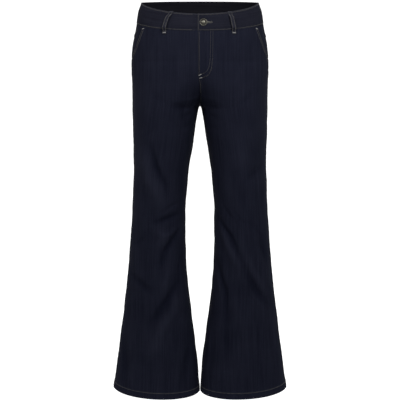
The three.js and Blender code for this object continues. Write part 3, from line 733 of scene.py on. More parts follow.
def puckers(seed, run, size, low=7.0, high=15.0):
    """Small uneven gathers along a stitched edge, by the distance along it. Every edge has its seed."""
    rng = np.random.default_rng(seed)
    total = np.zeros(run.shape)
    for _ in range(5):
        total += np.sin(run * 2 * math.pi / rng.uniform(low, high) + rng.uniform(0, 6.3))
    return total * size / 2.2


def gathers(seed, run, size, distance, centre, width, low=7.0, high=15.0):
    """Puckers that are strongest at one distance from an edge."""
    return puckers(seed, run, size, low, high) * bump_at(distance - centre, width)


# The curved fly stitching on the left front, as (x, z): its outer and its inner row.
J_OUTER = [
    (34.6, -76), (34.4, -115), (33.4, -149), (31.4, -172),
    (27.2, -187), (21.5, -196.3), (9, -201.8), (-3, -205.8),
]
J_INNER = [
    (28.4, -76), (28.2, -115), (27.2, -149), (25.2, -168),
    (21.6, -180), (15.5, -188), (6, -193), (-3, -197.4),
]
J_APART = 6.4  # from one row to the other
FAINT_ABOVE = -150  # the fly's rows show less above this


def through(points, count):
    """A smooth line through a few points."""
    p = np.asarray(points, float)
    p = np.concatenate((2 * p[:1] - p[1:2], p, 2 * p[-1:] - p[-2:-1]))
    t = np.linspace(0, len(points) - 1, count)
    i = np.minimum(t.astype(int), len(points) - 2)
    k = (t - i)[:, None]
    a, b, c, d = p[i], p[i + 1], p[i + 2], p[i + 3]
    return 0.5 * (2 * b + (c - a) * k + (2 * a - 5 * b + 4 * c - d) * k**2 + (3 * b - a - 3 * c + d) * k**3)


def fly_depth(x, z):
    """How far a place on the left front lies inside the fly stitching."""
    line = through(J_OUTER, 60)
    near = np.full(x.shape, 1e9)
    for a, b in zip(line[:-1], line[1:]):
        run = b - a
        t = np.clip(((x - a[0]) * run[0] + (z - a[1]) * run[1]) / (run @ run), 0, 1)
        near = np.minimum(near, np.hypot(x - a[0] - t * run[0], z - a[1] - t * run[1]))
    inside = (x < np.interp(-z, -line[:, 1], line[:, 0])) & (z > line[-1, 1])
    return np.where(inside, near, -near)


# Panels
LEG_LENGTH = CROTCH - HEM_Z
EDGE = np.array([0, 0.5, 1.2, 2.2, 3.6, 5.2, 7.2, 9.4, 11.4, 13.6])
HEM_ROWS = np.array([0, 0.45, 1.2, 2.6, 4.6, 7, 9.6, 12.2, 14.6, 16.4, 17.5, 18.5, 19.5, 20.7, 22.6, 25.2])
TOP_ROWS = np.array([0, 0.5, 1.3, 2.6, 4.4, 6.6, 9.2, 12])
PANEL_COLUMNS, LEG_STEP, BODY_STEP = 82, 3.5, 3.2
FOLD_PAINTED_SHADE = 0.07  # painted light and shade by a millimetre of fold: troughs painted darker as shade, ridges painted paler, partly as light and partly for their rubbed dye
CREASE_PAINTED_SHADE = 0.5  # the same for a fine crease, as a share of that
CROTCH_SHADE = 0.08  # painted shade: how much the colour is darkened in the creased hollow above the crotch
GRAIN_X = 70  # the cloth's grain is plumb at this distance from the middle


def panel_grid(side, front, top):
    """Turn and z by u and w, w being -1 at the hem, 0 at the crotch and 1 at the top; and the rows of w."""
    centre_top = float(top(90 if front else 270)) - SEAM_GAP / 2
    side_top = centre_top
    for _ in range(8):
        side_top = float(top(edge_turn(side, front, "side", side_top))) - SEAM_GAP / 2

    def across(inner_z, side_z, u):
        return lerp(edge_turn(side, front, "inner", inner_z), edge_turn(side, front, "side", side_z), u)

    def place(u, w):
        if w <= 0:
            z = lerp(CROTCH, hem_edge(across(HEM_Z, HEM_Z, u)), -w)
            return across(z, z, u), z
        z = lerp(CROTCH, top(across(centre_top, side_top, u)) - SEAM_GAP / 2, w)
        return across(lerp(CROTCH, centre_top, w), lerp(CROTCH, side_top, w), u), z

    body_length = centre_top - CROTCH
    leg = np.concatenate((HEM_ROWS, np.arange(HEM_ROWS[-1] + LEG_STEP, LEG_LENGTH - 1, LEG_STEP)))
    body = np.concatenate((TOP_ROWS, np.arange(TOP_ROWS[-1] + BODY_STEP, body_length, BODY_STEP)))
    return place, np.concatenate((-1 + leg / LEG_LENGTH, [0], 1 - body[::-1] / body_length))


def grain_start(rows, base, from_side):
    """Where the cloth's pattern starts, so that its grain runs straight down the leg and the hip."""
    half = from_side[:, :1] / 2
    rows_x = np.abs(base[..., 0])
    straight = [[np.interp(GRAIN_X, x, distance)] for x, distance in zip(rows_x, from_side)]
    straight = np.array(straight)
    hip = rows > 0
    half[hip] = half[rows == 0] + straight[hip] - straight[rows == 0]
    return half


def hem_relief(side, front, at):
    """Turned-up hem: a rounded fold below, one row of stitching and gathers that rope it."""
    doubled = smooth((HEM_HEIGHT + 0.6 - at.hem) / 1.4)
    rope = puckers(31 + side, at.inner + (0 if front else 300) - 0.9 * at.hem, 0.34, 9, 15)
    out = stitch_dip(at.hem, HEM_STITCH) - 1.25 * bump_at(at.hem, 0.5) + 0.35 * doubled
    inside = 1.1 * bump_at(at.hem, 0.5) - (HEM_THICKNESS - CLOTH) * doubled
    return out + rope * bump_at(at.hem - 9.5, 10), inside + 0.6 * rope * bump_at(at.hem - 9.5, 9)


def left_fly(at, fly):
    """The fly's stitched layers on the left front, and the felled crotch seam below them."""
    depth = fly_depth(at.x, at.z)
    above = at.z - FLY_BOTTOM
    out = 0.8 * smooth((depth + 0.6) / 2.4) * smooth(above / 10)
    out += (stitch_dip(depth, 0, 0.4) + stitch_dip(depth, J_APART, 0.4)) * smooth(above / 6)
    edge = 0.45 * bump_at(np.abs(at.x) - 9, 4.5) + 0.55 * smooth((5 - at.inner) / 3)
    edge += stitch_dip(at.inner, FLY_ROW) + gathers(57, at.z, 0.2, at.inner, 4, 6, 8, 16)
    crotch = felled(at.inner, 0.7, 8) + dips(at.inner, CROTCH_ROWS)
    return out + edge * fly + crotch * at.seat * (1 - fly)


def front_relief(side, at):
    """Felled inseam, allowance at the side seam, hemmed pocket mouth, and the fly."""
    leg = felled(at.inner, 0.6, 9) * smooth(at.hem / 4) + stitch_dip(at.inner, INSEAM_ROW)
    leg += gathers(51 + side, at.z, 0.16, at.inner, 4, 6)
    seam = felled(at.side, 0.5, 8) + gathers(53 + side, at.z, 0.14, at.side, 4, 6, 12, 26)
    mouth = 0.75 * smooth((MOUTH_HEM - at.side) / 2) + dips(at.side, MOUTH_ROWS)
    mouth += gathers(55 + side, at.z, 0.2, at.side, 5, 4, 8, 14)
    out = leg * (1 - at.seat) + lerp(mouth, seam, smooth((POCKET_BOTTOM_Z - 6 - at.z) / 10))
    fly = smooth((at.z - FLY_FROM) / (FLY_TO - FLY_FROM))
    if side > 0:
        return out + left_fly(at, fly), 0
    lowered = -smooth((7 - at.inner) / 5) * fly
    lapped = -(CLOTH + 0.15) * smooth((CROTCH_LAP + 1.8 - at.inner) / 1.5) * crotch_lap(at.z) * at.seat
    return out + 0.9 * lowered + lapped, 0.7 * lowered + lapped


def back_relief(side, at):
    """Inseam and side seam, and on the left the felled seam of the seat."""
    out = (felled(at.inner, 0.35, 4) + gathers(61 + side, at.z, 0.14, at.inner, 3, 5)) * (1 - at.seat)
    out += gathers(63 + side, at.z, 0.14, at.side, 4, 6, 12, 26) - 0.2 * smooth((12 - at.top) / 10)
    if side > 0:
        rise = felled(at.inner) + dips(at.inner, SEAT_ROWS)
        out += (rise + gathers(65, at.z, 0.2, at.inner, 5, 5, 8, 14)) * at.seat
    return out, 0


def panel_wear(front, at):
    """Where raised edges are rubbed paler."""
    wear = 0.32 * bump_at(at.hem, 1.6) + 0.16 * bump_at(at.hem - HEM_STITCH - 0.9, 1.4)
    wear += 0.12 * bump_at(at.side, 1.4) + 0.14 * bump_at(at.inner, 1.4)
    if front:
        wear += 0.12 * bump_at(at.inner - 9, 1.2) * (1 - at.seat) + 0.10 * bump_at(at.side - 8.5, 1.2)
    return wear


def allowances(grids, side, front, rows, from_hem):
    """Seam allowances that run on under the neighbouring pieces."""
    above_hem = smooth(from_hem / 12)
    if not front:
        grids = run_under(grids, "end", above_hem)
        if side < 0:
            grids = run_under(grids, "start", above_hem)
    grids = run_under(grids, "top")
    if front or side < 0:
        return grids
    # At the seat the left back lies over the right one, so here only its leg has an allowance.
    below = 1 - smooth((rows + 0.03) / 0.03)
    return run_under(grids, "start", np.append(below * above_hem, (0, 0)))


def panel(side, word, front):
    top = waist_seam if front else yoke_seam
    place, rows = panel_grid(side, front, top)
    turn, z, from_inner, from_side = resample(side, place, rows, PANEL_COLUMNS, EDGE)
    base, normal = surface(side, turn, z)
    at = SimpleNamespace(z=z, x=base[..., 0], inner=from_inner, side=from_side)
    at.hem = z - hem_edge(turn)
    at.top = top(turn) - z
    at.seat = smooth((z - CROTCH) / 12)

    main = fold_height(side, turn, z, FOLDS)
    broad = main + fold_height(side, turn, z, CREASES)
    hanging = smooth((FLARE_FROM - z) / 120)
    broad += ripple(11 if front else 12, side, turn, z, 55, 150, 7) * lerp(0.3, 0.7, hanging)
    broad += ripple(13 if front else 14, side, turn, z, 16, 42, 9) * 0.11
    broad *= smooth((at.top + 4) / 26) * smooth((at.hem + 30) / 40)
    # Painted light and shade of the folds: the colour is lightened on ridges and darkened in troughs.
    fade = FOLD_PAINTED_SHADE * (main + CREASE_PAINTED_SHADE * (broad - main))
    # Painted shade: the colour is darkened in the hollow above the crotch, between SHADE_TOP and SHADE_LOW.
    if front:
        crotch = bump_at(np.abs(at.x) - 2, 20) * smooth((z - SHADE_LOW) / 45) * smooth((SHADE_TOP - z) / 50)
        fade -= CROTCH_SHADE * crotch

    hem_out, hem_inside = hem_relief(side, front, at)
    more_out, more_inside = (front_relief if front else back_relief)(side, at)
    out = broad + hem_out + more_out + edge_round(at.top, 0.4)
    out += edge_round(at.inner) + edge_round(at.side)
    inside = broad + hem_inside + more_inside - CLOTH
    inside -= edge_round(at.inner, 0.3) + edge_round(at.side, 0.3) + edge_round(at.top, 0.3)

    outer, inner = raised(base, normal, out), raised(base, normal, inside)
    uv = np.stack((grain_start(rows, base, from_side) - from_side, z), -1) * MM
    grids = [base, normal, broad, outer, inner, uv, panel_wear(front, at), fade]
    outer, inner, uv, wear, fade = allowances(grids, side, front, rows, at.hem[:, 0])[3:]
    name = f"{'front' if front else 'back'}_panel_{word}"
    # fade carries the painted light and shade of the folds and the crotch into the denim's colour.
    settle(shell(name, outer, inner, uv, CLOTH_FACES, wear=wear, fade=fade), name)


# Flat layers: yokes, pocket facings, fly facing and shield
SHORT_EDGE = np.array([0, 0.5, 1.2, 2.2, 3.6, 5.4, 7.2, 9, 10.8])
FACING_LEVEL = -CLOTH - LAYER_GAP
ZIP_LEVEL = FACING_LEVEL - CLOTH - LAYER_GAP
SHIELD_LEVEL = ZIP_LEVEL - ZIP_CHAIN - LAYER_GAP


def even_rows(count):
    """Rows from 0 to 1, closer together near both ends."""
    t = np.linspace(0, 1, count)
    return lerp(t, smooth(t), 0.75)


def no_detail(at):
    return 0, 0


def no_wear(at):
    return np.zeros(at.z.shape)


def layer(
    name, side, place, size, edge, level, thickness, materials, detail=no_detail, wear=no_wear, under=()
):
    """A sheet of cloth at one depth, with rounded edges. place gives turn and z by u and row."""
    rows = even_rows(size[0])
    turn, z, start, end = resample(side, place, rows, size[1], edge)
    low, high = (plain(side, *place(0.5, row)) for row in (0, 1))
    span = np.linalg.norm(low - high)
    up = np.broadcast_to((rows * span)[:, None], turn.shape)
    at = SimpleNamespace(turn=turn, z=z, start=start, end=end, up=up, down=span - up)
    rounded = sum(edge_round(distance, 0.35) for distance in (start, end, np.minimum(at.up, at.down)))
    more_out, more_inside = detail(at)
    fold = fold_height(side, turn, z, FOLDS)
    base, normal = surface(side, turn, z)
    outer = raised(base, normal, level + fold + rounded + more_out)
    inner = raised(base, normal, level - thickness + fold - rounded * 0.6 + more_inside)
    uv = np.stack(((start - end) / 2, z), -1) * MM
    grids = [base, normal, fold, outer, inner, uv, wear(at)]
    for under_edge in under:
        grids = run_under(grids, under_edge)
    return shell(name, *grids[3:6], materials, wear=grids[6])


def yoke(side, word):
    def place(u, v):
        turn = lerp(turn_at_x(BAND_LEVEL, SEAM_GAP / 2, False), SIDE_TURN_HIP + HALF_GAP_TURN, u)
        return turn, lerp(yoke_seam(turn) + SEAM_GAP / 2, waist_seam(turn) - SEAM_GAP / 2, v)

    def detail(at):
        low = at.z - yoke_seam(at.turn)
        out = felled(low, 0.8) + dips(low, SEAT_ROWS) + gathers(71 + side, at.start, 0.22, low, 5, 5, 8, 14)
        out += gathers(73 + side, at.start, 0.2, at.down, 2, 6, 9, 18)
        if side > 0:
            out += felled(at.start) + dips(at.start, SEAT_ROWS)
        return out, 0

    def wear(at):
        return 0.2 * bump_at(at.z - yoke_seam(at.turn), 1.3) + 0.1 * bump_at(at.end, 1.3)

    under = ("start", "end", "top") if side < 0 else ("end", "top")
    name = f"yoke_{word}"
    settle(layer(name, side, place, (30, 70), SHORT_EDGE, 0, CLOTH, CLOTH_FACES, detail, wear, under), name)


def pocket_facing(side, word):
    def place(u, v):
        rough = lerp(POCKET_BOTTOM, waist_seam(170), v)
        hidden = walk(side, pocket_edge(max(rough, POCKET_BOTTOM_Z)), rough, -POCKET_UNDER)
        turn = lerp(hidden, side_seam(rough) - HALF_GAP_TURN, u)
        return turn, lerp(POCKET_BOTTOM, waist_seam(turn) - SEAM_GAP / 2, v)

    def detail(at):
        sag = -0.5 * np.sin(np.pi * np.clip(at.up / 110, 0, 1)) * bump_at(at.start - 20, 14)
        lift = 0.7 * smooth((9 - at.end) / 6)
        return sag + lift, sag + lift * 0.4

    name = f"front_pocket_facing_{word}"
    level = -CLOTH - POCKET_SUNK
    settle(layer(name, side, place, (36, 34), SHORT_EDGE[:6], level, CLOTH, CLOTH_FACES, detail), name)


def fly_layer(name, start, width, level, thickness, material):
    """A layer behind the fly, with its lower far corner rounded off."""

    def place(u, v):
        low = FLY_BOTTOM + FLY_ROUND * smooth((u - 0.35) / 0.65)
        z = lerp(low, waist_seam(90) + FLY_TOP, v)
        return turn_at_x(z, start + width * u, True), z

    settle(layer(name, 1, place, (44, 30), SHORT_EDGE[:5], level, thickness, [material, material]), name)


# Zip
TOOTH_APART, TOOTH_X, TOOTH_SIZE = 1.45, 0.75, (4.3, 1.05, 1.25)
CORD_X, SLIDER_DOWN = 4.2, 10


def join(parts):
    """Points and faces of many small solids, as one."""
    faces, total = [], 0
    for points, part_faces in parts:
        faces += [[i + total for i in face] for face in part_faces]
        total += len(points)
    return np.concatenate([points for points, _ in parts]), faces


def block(centre, along, across, out, size, taper=0.8):
    """A small box with a narrower outer face, on three axes."""
    a, b, c = np.array(size) / 2
    corners = []
    for k, shrink in ((-1, 1.0), (0.45, 1.0), (1, taper)):
        for i, j in ((-1, -1), (1, -1), (1, 1), (-1, 1)):
            corners.append(centre + along * a * i * shrink + across * b * j * shrink + out * c * k)
    faces = [[3, 2, 1, 0], [8, 9, 10, 11]]
    for ring in (0, 4):
        for i in range(4):
            j = (i + 1) % 4
            faces.append([ring + i, ring + j, ring + 4 + j, ring + 4 + i])
    return np.array(corners), faces


def zip_fastener():
    """Closed zip: tape, one chain of interlocked teeth, and a slider with its pull at the top."""
    top = float(waist_seam(90)) + FLY_TOP

    def place(u, v):
        z = np.full(np.shape(u), lerp(ZIP_BOTTOM, top, v))
        return turn_at_x(z, lerp(-ZIP_WIDTH / 2, ZIP_WIDTH / 2, u), True), z

    def detail(at):
        return 0, -0.35 * bump_at(np.abs(at.start - at.end) / 2 - CORD_X, 0.8)

    def metal(name, blocks):
        made = make_mesh(name, *join(blocks), [ZIP_METAL], sharp=30)
        settle(made, "zip")

    woven = [ZIP_CLOTH, ZIP_CLOTH]
    made = layer("zip", 1, place, (48, 32), SHORT_EDGE[:4], ZIP_LEVEL, ZIP_TAPE, woven, detail)
    settle(made, "zip")
    teeth = []
    for i, z in enumerate(np.arange(ZIP_BOTTOM + 8, top - 9, TOOTH_APART)):
        x = -TOOTH_X if i % 2 else TOOTH_X
        base, normal = on_front(x, z)
        fold = fold_height(1, turn_at_x(z, x, True), z, FOLDS)
        up = unit(np.cross(normal, (1.0, 0, 0)))
        at = base + normal * (ZIP_LEVEL - ZIP_TAPE - 0.62 + fold)
        teeth.append(block(at, np.cross(up, normal), up, -normal, TOOTH_SIZE))
    metal("zip_chain", teeth)
    base, normal = on_front(0, top - SLIDER_DOWN)
    at = base + normal * (ZIP_LEVEL - ZIP_TAPE - 1.1)
    across, up = np.array([1.0, 0, 0]), np.array([0, 0, 1.0])
    metal("zip_slider", [
        block(at, across, up, -normal, (8, 9, 2.0), 0.75),
        block(at - normal * 1.1 + up * 1.5, across, up, -normal, (2.2, 4.5, 1.0), 0.7),
        block(at - normal * 1.0 - up * 9, across, up, -normal, (5, 14, 0.8), 0.85),
    ])


# Back patch pockets. Across them p runs from -1 at one side to 1 at the other.
def patch_deep(p):
    return PATCH_SIDE + PATCH_POINT * (1 - np.abs(p) ** PATCH_POWER)


def patch_half(down):
    return lerp(PATCH_TOP, PATCH_LOW, down / PATCH_SIDE)


def patch_place(side, p, down, across):
    """Turn and z of a place by how far it lies below the mouth and from the middle."""
    z = PATCH_Z - down + p * PATCH_TILT
    return walk(side, PATCH_TURN, z, -across), z


def patch_pocket(side, word):
    """Back patch pocket: sewn flat along its sides and point, a little full in its middle."""

    def place(u, v):
        p = 2 * u - 1
        down = (1 - v) * patch_deep(p)
        return patch_place(side, p, down, p * patch_half(down))

    rows = even_rows(70)
    turn, z, from_start, from_end = resample(side, place, rows, 64, SHORT_EDGE)
    deep = patch_deep(2 * from_start / (from_start + from_end) - 1)
    from_bottom = rows[:, None] * deep
    from_top = deep - from_bottom
    from_side = np.minimum(from_start, from_end)
    sewn = np.minimum(from_side, from_bottom * PATCH_FLAT)
    along_seam = np.where(from_side < from_bottom * PATCH_FLAT, z, from_start)
    full = smooth((sewn - 6) / 34)
    fold = fold_height(side, turn, z, FOLDS)
    lift = 0.22 + full * 1.5 + 0.9 * full * smooth((60 - from_top) / 50)
    out = fold + lift + CLOTH + edge_round(sewn) + edge_round(from_top) + dips(sewn, PATCH_ROWS)
    out += 0.5 * smooth((PATCH_HEM - from_top) / 1.6) + stitch_dip(from_top, PATCH_MOUTH_ROW)
    out += gathers(81 + side, along_seam, 0.2, sewn, 5, 4.5, 8, 15)
    out += gathers(83 + side, from_start, 0.2, from_top, 7, 7, 9, 15)
    out += ripple(15, side, turn, z, 40, 90, 6) * 0.3 * full
    base, normal = surface(side, turn, z)
    outer = raised(base, normal, out)
    inner = raised(base, normal, fold + lift - edge_round(sewn, 0.05))
    uv = np.stack(((from_start - from_end) / 2, z), -1) * MM
    wear = 0.22 * bump_at(sewn, 1.4) + 0.28 * bump_at(from_top, 1.6)
    name = f"back_pocket_{word}"
    settle(shell(name, outer, inner, uv, CLOTH_FACES, wear=wear), name)


# Waistband
BAND_PROFILE = 26  # points across one face of the band
BAND_COLUMNS, BAND_UNDER_COLUMNS = 230, 40  # of each half, and of the end that lies under the other
BAND_BUTTON_TURN = 150  # the ends are in front of this turn angle


def band_stations():
    """Side and turn angle of the band's columns, from its lapped end round to the end under it."""
    start = turn_at_x(BAND_LEVEL, BAND_END_X, True)
    close = walk(-1, 90, BAND_LEVEL, BAND_DIVE_FROM)
    end = turn_at_x(BAND_LEVEL, -BAND_UNDER_X, True)
    turns = np.concatenate((
        np.linspace(start, 270, BAND_COLUMNS),
        np.linspace(270, close, BAND_COLUMNS)[1:],
        np.linspace(close, end, BAND_UNDER_COLUMNS + 1)[1:],
    ))
    return np.where(np.arange(len(turns)) < BAND_COLUMNS, 1.0, -1.0), turns


def band_frame(sides, turns, up):
    """Point, normal and dive under the other end, on the waistband's sewing line raised by up."""
    z = lerp(waist_seam(turns) + SEAM_GAP / 2, top_edge(turns), up)
    left, normal_left = surface(1, turns, z)
    mirror = np.stack((sides, np.ones(sides.shape), np.ones(sides.shape)), -1)
    share = (BAND_DIVE_FROM - left[..., 0]) / (BAND_DIVE_FROM - BAND_DIVE_TO)
    dive = np.where((sides < 0) & (turns < BAND_BUTTON_TURN), BAND_DIVE_DEPTH * smooth(share), 0)
    return left * mirror, normal_left * mirror, dive


def waistband():
    sides, turns = band_stations()
    run = run_along(band_frame(sides, turns, 0.5)[0])
    from_end = np.minimum(run, run[-1] - run)
    height = top_edge(turns) - waist_seam(turns)
    lapped = np.where(sides > 0, 1 - smooth((58 - run) / 8), 1)
    even = np.linspace(0, 1, BAND_PROFILE)
    rows = []
    for up in lerp(even, smooth(even), 0.8):
        base, normal, dive = band_frame(sides, turns, up)
        low = up * height
        high = height - low
        edges = edge_round(low, 1.0, 0.7) + edge_round(high, 1.05, 0.7) + edge_round(from_end, 0.9, 0.7)
        behind = 1 - smooth(dive / BAND_DIVE_DEPTH * 2)
        relief = 0.35 * smooth((low - 2) / 9) * smooth((high - 2) / 9)
        relief += stitch_dip(low, BAND_LOW_ROW, 0.45, 1) + stitch_dip(high, BAND_ROW, 0.45, 1)
        relief += stitch_dip(run, BAND_ROW, 0.35, 1) * (sides > 0)
        relief += puckers(91, run, 0.2, 8, 17) * (bump_at(low - 2, 7) + 0.4)
        relief += gathers(92, run, 0.2, high, 3, 6, 9, 16)
        relief += 0.35 * np.sin(run / 37 + up * 2.2) * np.sin(np.pi * up)
        face = BAND_OUT + edges + relief * behind
        back = BAND_OUT - BAND_THICKNESS - edges * 0.9
        back += 0.2 * gathers(93, run, 1, low, 0, 5, 9, 18) * lapped * behind
        wear = 0.34 * bump_at(high, 1.8) + 0.14 * bump_at(low, 1.5) + 0.3 * bump_at(run, 2)
        uv = np.stack((low, run), -1) * MM
        rows.append((raised(base, normal, face - dive), raised(base, normal, back - dive), uv, wear))
    outer, inner, uv, wear = (np.array(grid) for grid in zip(*rows))
    # The inner face takes the dark painted-shade copy of the denim.
    return settle(shell("waistband", outer, inner, uv, [DENIM_BAND, BAND_INSIDE_PAINTED_SHADE], wear=wear), "waistband")


def keyhole():
    """Outline of the buttonhole round the button's middle: eye and slit, in x and z."""
    start = math.asin(SLIT_WIDTH / 2 / EYE)
    arc = np.linspace(start, 2 * math.pi - start, 26)
    ring = np.stack((EYE * np.cos(arc), EYE * np.sin(arc)), -1)
    return np.concatenate((ring, [[SLIT, -SLIT_WIDTH / 2], [SLIT, SLIT_WIDTH / 2]]))


def cut_buttonhole(band):
    """Cuts the keyhole through the lapped end of the band, and not through the end behind it."""
    outline = keyhole() + (BUTTON_X, BUTTON_Z)
    count = len(outline)
    base, normal = on_front(*outline.T)
    front = base + normal * (BAND_OUT + 3)
    back = base + normal * (BAND_OUT - BAND_THICKNESS - 0.28)
    faces = [list(range(count)), list(range(2 * count - 1, count - 1, -1))]
    faces += [[i, i + count, (i + 1) % count + count, (i + 1) % count] for i in range(count)]
    tool = make_mesh("keyhole_tool", np.concatenate((front, back)), faces, [BAND_INSIDE_PAINTED_SHADE])
    cut = band.modifiers.new("keyhole", "BOOLEAN")
    cut.operation = "DIFFERENCE"
    cut.solver = "EXACT"
    cut.object = tool
    graph = bpy.context.evaluated_depsgraph_get()
    before = band.data
    band.data = bpy.data.meshes.new_from_object(band.evaluated_get(graph))
    band.modifiers.clear()
    bpy.data.meshes.remove(before)
    band.data.name = "waistband"
    bpy.data.objects.remove(tool)


# Belt loops
LOOP_HALF = np.array([0, 2, 3.4, 4.3, 4.9, 5.3, LOOP_WIDTH / 2])  # its columns, from its middle line
LOOP_ROWS = 60
LOOP_LEVEL_BACK, LOOP_LEVEL_FRONT = -50, -70  # where its distance from the middle is measured


def loop_frame(loop, q, w):
    """Point and normal under a belt loop, q down its length and w across it in millimetres."""
    _, side, x, back, lean, bend = loop
    seam_turn = float(turn_at_x(LOOP_LEVEL_BACK if back else LOOP_LEVEL_FRONT, x, not back))
    seam = float(waist_seam(seam_turn))
    top = float(top_edge(seam_turn)) - 1
    bottom = seam - LOOP_BELOW
    tack = LOOP_TACK / (top - bottom)
    z = lerp(top, bottom, q)
    bow = smooth(np.minimum(q - tack, 1 - tack - q) / LOOP_RISE)
    on_band = smooth((z - seam + 4.2) / 3)
    out = SEAM_GAP + (BAND_OUT + 0.35) * on_band + 0.5 * (1 - on_band) + LOOP_SLACK * bow
    centre = walk(side, seam_turn, z, (1 if back else -1) * lean * (1 - q) ** bend)
    return plain(side, walk(side, centre, z, w), z), plain_normal(side, centre, z), out, top - bottom


def belt_loop(loop):
    name, side = loop[:2]
    q, w = np.meshgrid(np.linspace(0, 1, LOOP_ROWS), (*-LOOP_HALF[:0:-1], *LOOP_HALF), indexing="ij")
    base, normal, out, length = loop_frame(loop, q, w)
    from_edge = LOOP_WIDTH / 2 - np.abs(w)
    from_end = np.minimum(q, 1 - q) * length
    rounded = edge_round(from_edge, 0.62, 0.45) + edge_round(from_end, 0.6, 0.7)
    face = LOOP_THICKNESS + rounded + stitch_dip(from_edge, LOOP_ROW, 0.22, 0.6)
    face += 0.5 * bump_at(from_end - 3, 3.2)
    face += 0.14 * np.sin(q * length / 1.9 + side) * bump_at(from_edge - 1.5, 1.6)
    outer = raised(base, normal, out + face)
    inner = raised(base, normal, out - rounded * 0.6)
    uv = np.stack((w, q * length), -1) * MM
    wear = 0.35 * bump_at(from_edge, 0.7) + 0.4 * bump_at(from_end, 1.2)
    settle(shell(name, outer, inner, uv, [DENIM_LOOP, DENIM_INSIDE], wear=wear), name)


# Button
RIM_WIDTH, BOSS_RADIUS, SHANK_RADIUS, BUTTON_SEGMENTS = 1.75, 4.4, 2.6, 72


def lathe(profile, segments, closed=True):
    """A turned form from (radius, height) pairs. It starts on the axis, and ends there if it is closed."""
    rings = profile[1:-1] if closed else profile[1:]
    points = [(0, 0, profile[0][1])]
    faces = []
    for radius, height in rings:
        for i in range(segments):
            angle = 2 * math.pi * i / segments
            points.append((radius * math.cos(angle), radius * math.sin(angle), height))
    last = len(points)
    if closed:
        points.append((0, 0, profile[-1][1]))
    for i in range(segments):
        j = (i + 1) % segments
        faces.append([0, 1 + j, 1 + i])
        for low in range(1, last - segments, segments):
            faces.append([low + i, low + j, low + segments + j, low + segments + i])
        if closed:
            faces.append([last - segments + i, last - segments + j, last])
    return np.array(points), faces


def button():
    """Tack button on its shank: a rolled rim round a dark sunk ring and a low boss."""
    seat = BAND_OUT + SEAM_GAP + 0.25
    foot = BAND_OUT - BAND_DIVE_DEPTH + SEAM_GAP
    r = BUTTON_RADIUS
    rim = [
        (r - 1.2, 0), (r - 0.5, 0.12), (r - 0.1, 0.45), (r, 0.85), (r - 0.1, 1.3), (r - 0.45, 1.66),
        (r - 0.9, 1.78), (r - 1.35, 1.66), (r - 1.7, 1.3), (r - 1.95, 0.95), (r - 2.4, 0.85),
    ]
    boss = [
        (5.4, 0.85), (4.9, 0.95), (4.5, 1.3), (4.1, 1.55), (3.2, 1.75), (2.2, 1.95), (1.1, 2.06), (0, 2.1),
    ]
    head = [(radius, seat + height) for radius, height in ((SHANK_RADIUS, 0), *rim, *boss)]
    points, faces = lathe([(0, foot), (SHANK_RADIUS, foot), *head], BUTTON_SEGMENTS)
    middle, normal = on_front(BUTTON_X, BUTTON_Z)
    spin = np.array(Vector((0, 0, 1)).rotation_difference(Vector(normal)).to_matrix())
    made = make_mesh("button_turned", middle + points @ spin.T, faces, [BRASS, BRASS_DARK], sharp=60)
    for face in made.data.polygons:
        centre = np.array(face.center) / MM - middle
        radius = np.linalg.norm(centre - normal * (centre @ normal))
        face.material_index = int(BOSS_RADIUS < radius < r - RIM_WIDTH and centre @ normal > seat)
    settle(made, "button")


# Stitching
STITCH, STITCH_GAP, THREAD_RADIUS = 3.3, 0.55, 0.36
REACH = 9  # how far off the cloth a stitch is looked for
SUNK = -0.34  # how deep the ends of a stitch go into the cloth
HEM_SPANS = (("front", 9, 171), ("back", 173, 367))  # turn angles of the rows
YOKE_SPAN = (177, 269)
FLY_ROW_SPANS = ((-82, -196), (-209, -244))  # above and below the fly's bars
CROTCH_SPANS = ((-246, -275), (-209, -275))
BAR_LENGTH, LOOP_BAR_LENGTH = 8, 8.6
FLY_BARS = ((0.6, -195.2, (0.85, 0, 0.5)), (2.6, -203.6, (1, 0, 0.3)))  # x, z and direction
PURL_APART, PURL_FROM = 0.62, 0.15
PURL_TO = (1.75, 0.75)  # how far the purl stitches reach out at the eye and at the end of the slit


def land(names, points, normals):
    """Drops points along their normals on to the cloth of the named pieces."""
    found, facing, kept = [], [], []
    for i, (point, normal) in enumerate(zip(points, normals)):
        start, inwards = Vector(point + normal * REACH), Vector(-normal)
        rays = [SURFACES[name].ray_cast(start, inwards, 2 * REACH) for name in names]
        hits = [ray for ray in rays if ray[0] is not None]
        if hits:
            spot, face_normal, _, _ = min(hits, key=lambda ray: ray[3])
            found.append(np.array(spot))
            facing.append(np.array(face_normal) * (1 if face_normal @ Vector(normal) > 0 else -1))
            kept.append(i)
    return np.array(found), np.array(facing), kept


def capsules(starts, ends, normals, radius, lift=0.2, sides=6):
    """Short threads from starts to ends, sunk at both ends into the cloth."""
    steps = np.array([0, 0.14, 0.5, 0.86, 1])
    heights = np.array([SUNK, lift * 0.6, lift, lift * 0.6, SUNK])
    girths = np.array([0.55, 0.94, 1, 0.94, 0.55]) * radius
    across = unit(np.cross(normals, unit(ends - starts)))
    centre = starts[:, None] + (ends - starts)[:, None] * steps[:, None]
    centre = centre + normals[:, None] * heights[:, None]
    angles = np.linspace(0, 2 * math.pi, sides, endpoint=False)[:, None]
    spokes = across[:, None] * np.cos(angles) + normals[:, None] * np.sin(angles)
    points = centre[:, :, None] + spokes[:, None] * girths[:, None, None]
    i = np.arange(sides)
    j = (i + 1) % sides
    low = np.arange(len(steps) - 1)[:, None] * sides
    quads = np.stack((low + i, low + j, low + sides + j, low + sides + i), -1).reshape(-1, 4)
    first = np.arange(len(starts))[:, None] * len(steps) * sides
    faces = (quads + first[:, None]).reshape(-1, 4).tolist()
    faces += (i[::-1] + first).tolist() + (i + low[-1] + sides + first).tolist()
    return points.reshape(-1, 3), faces


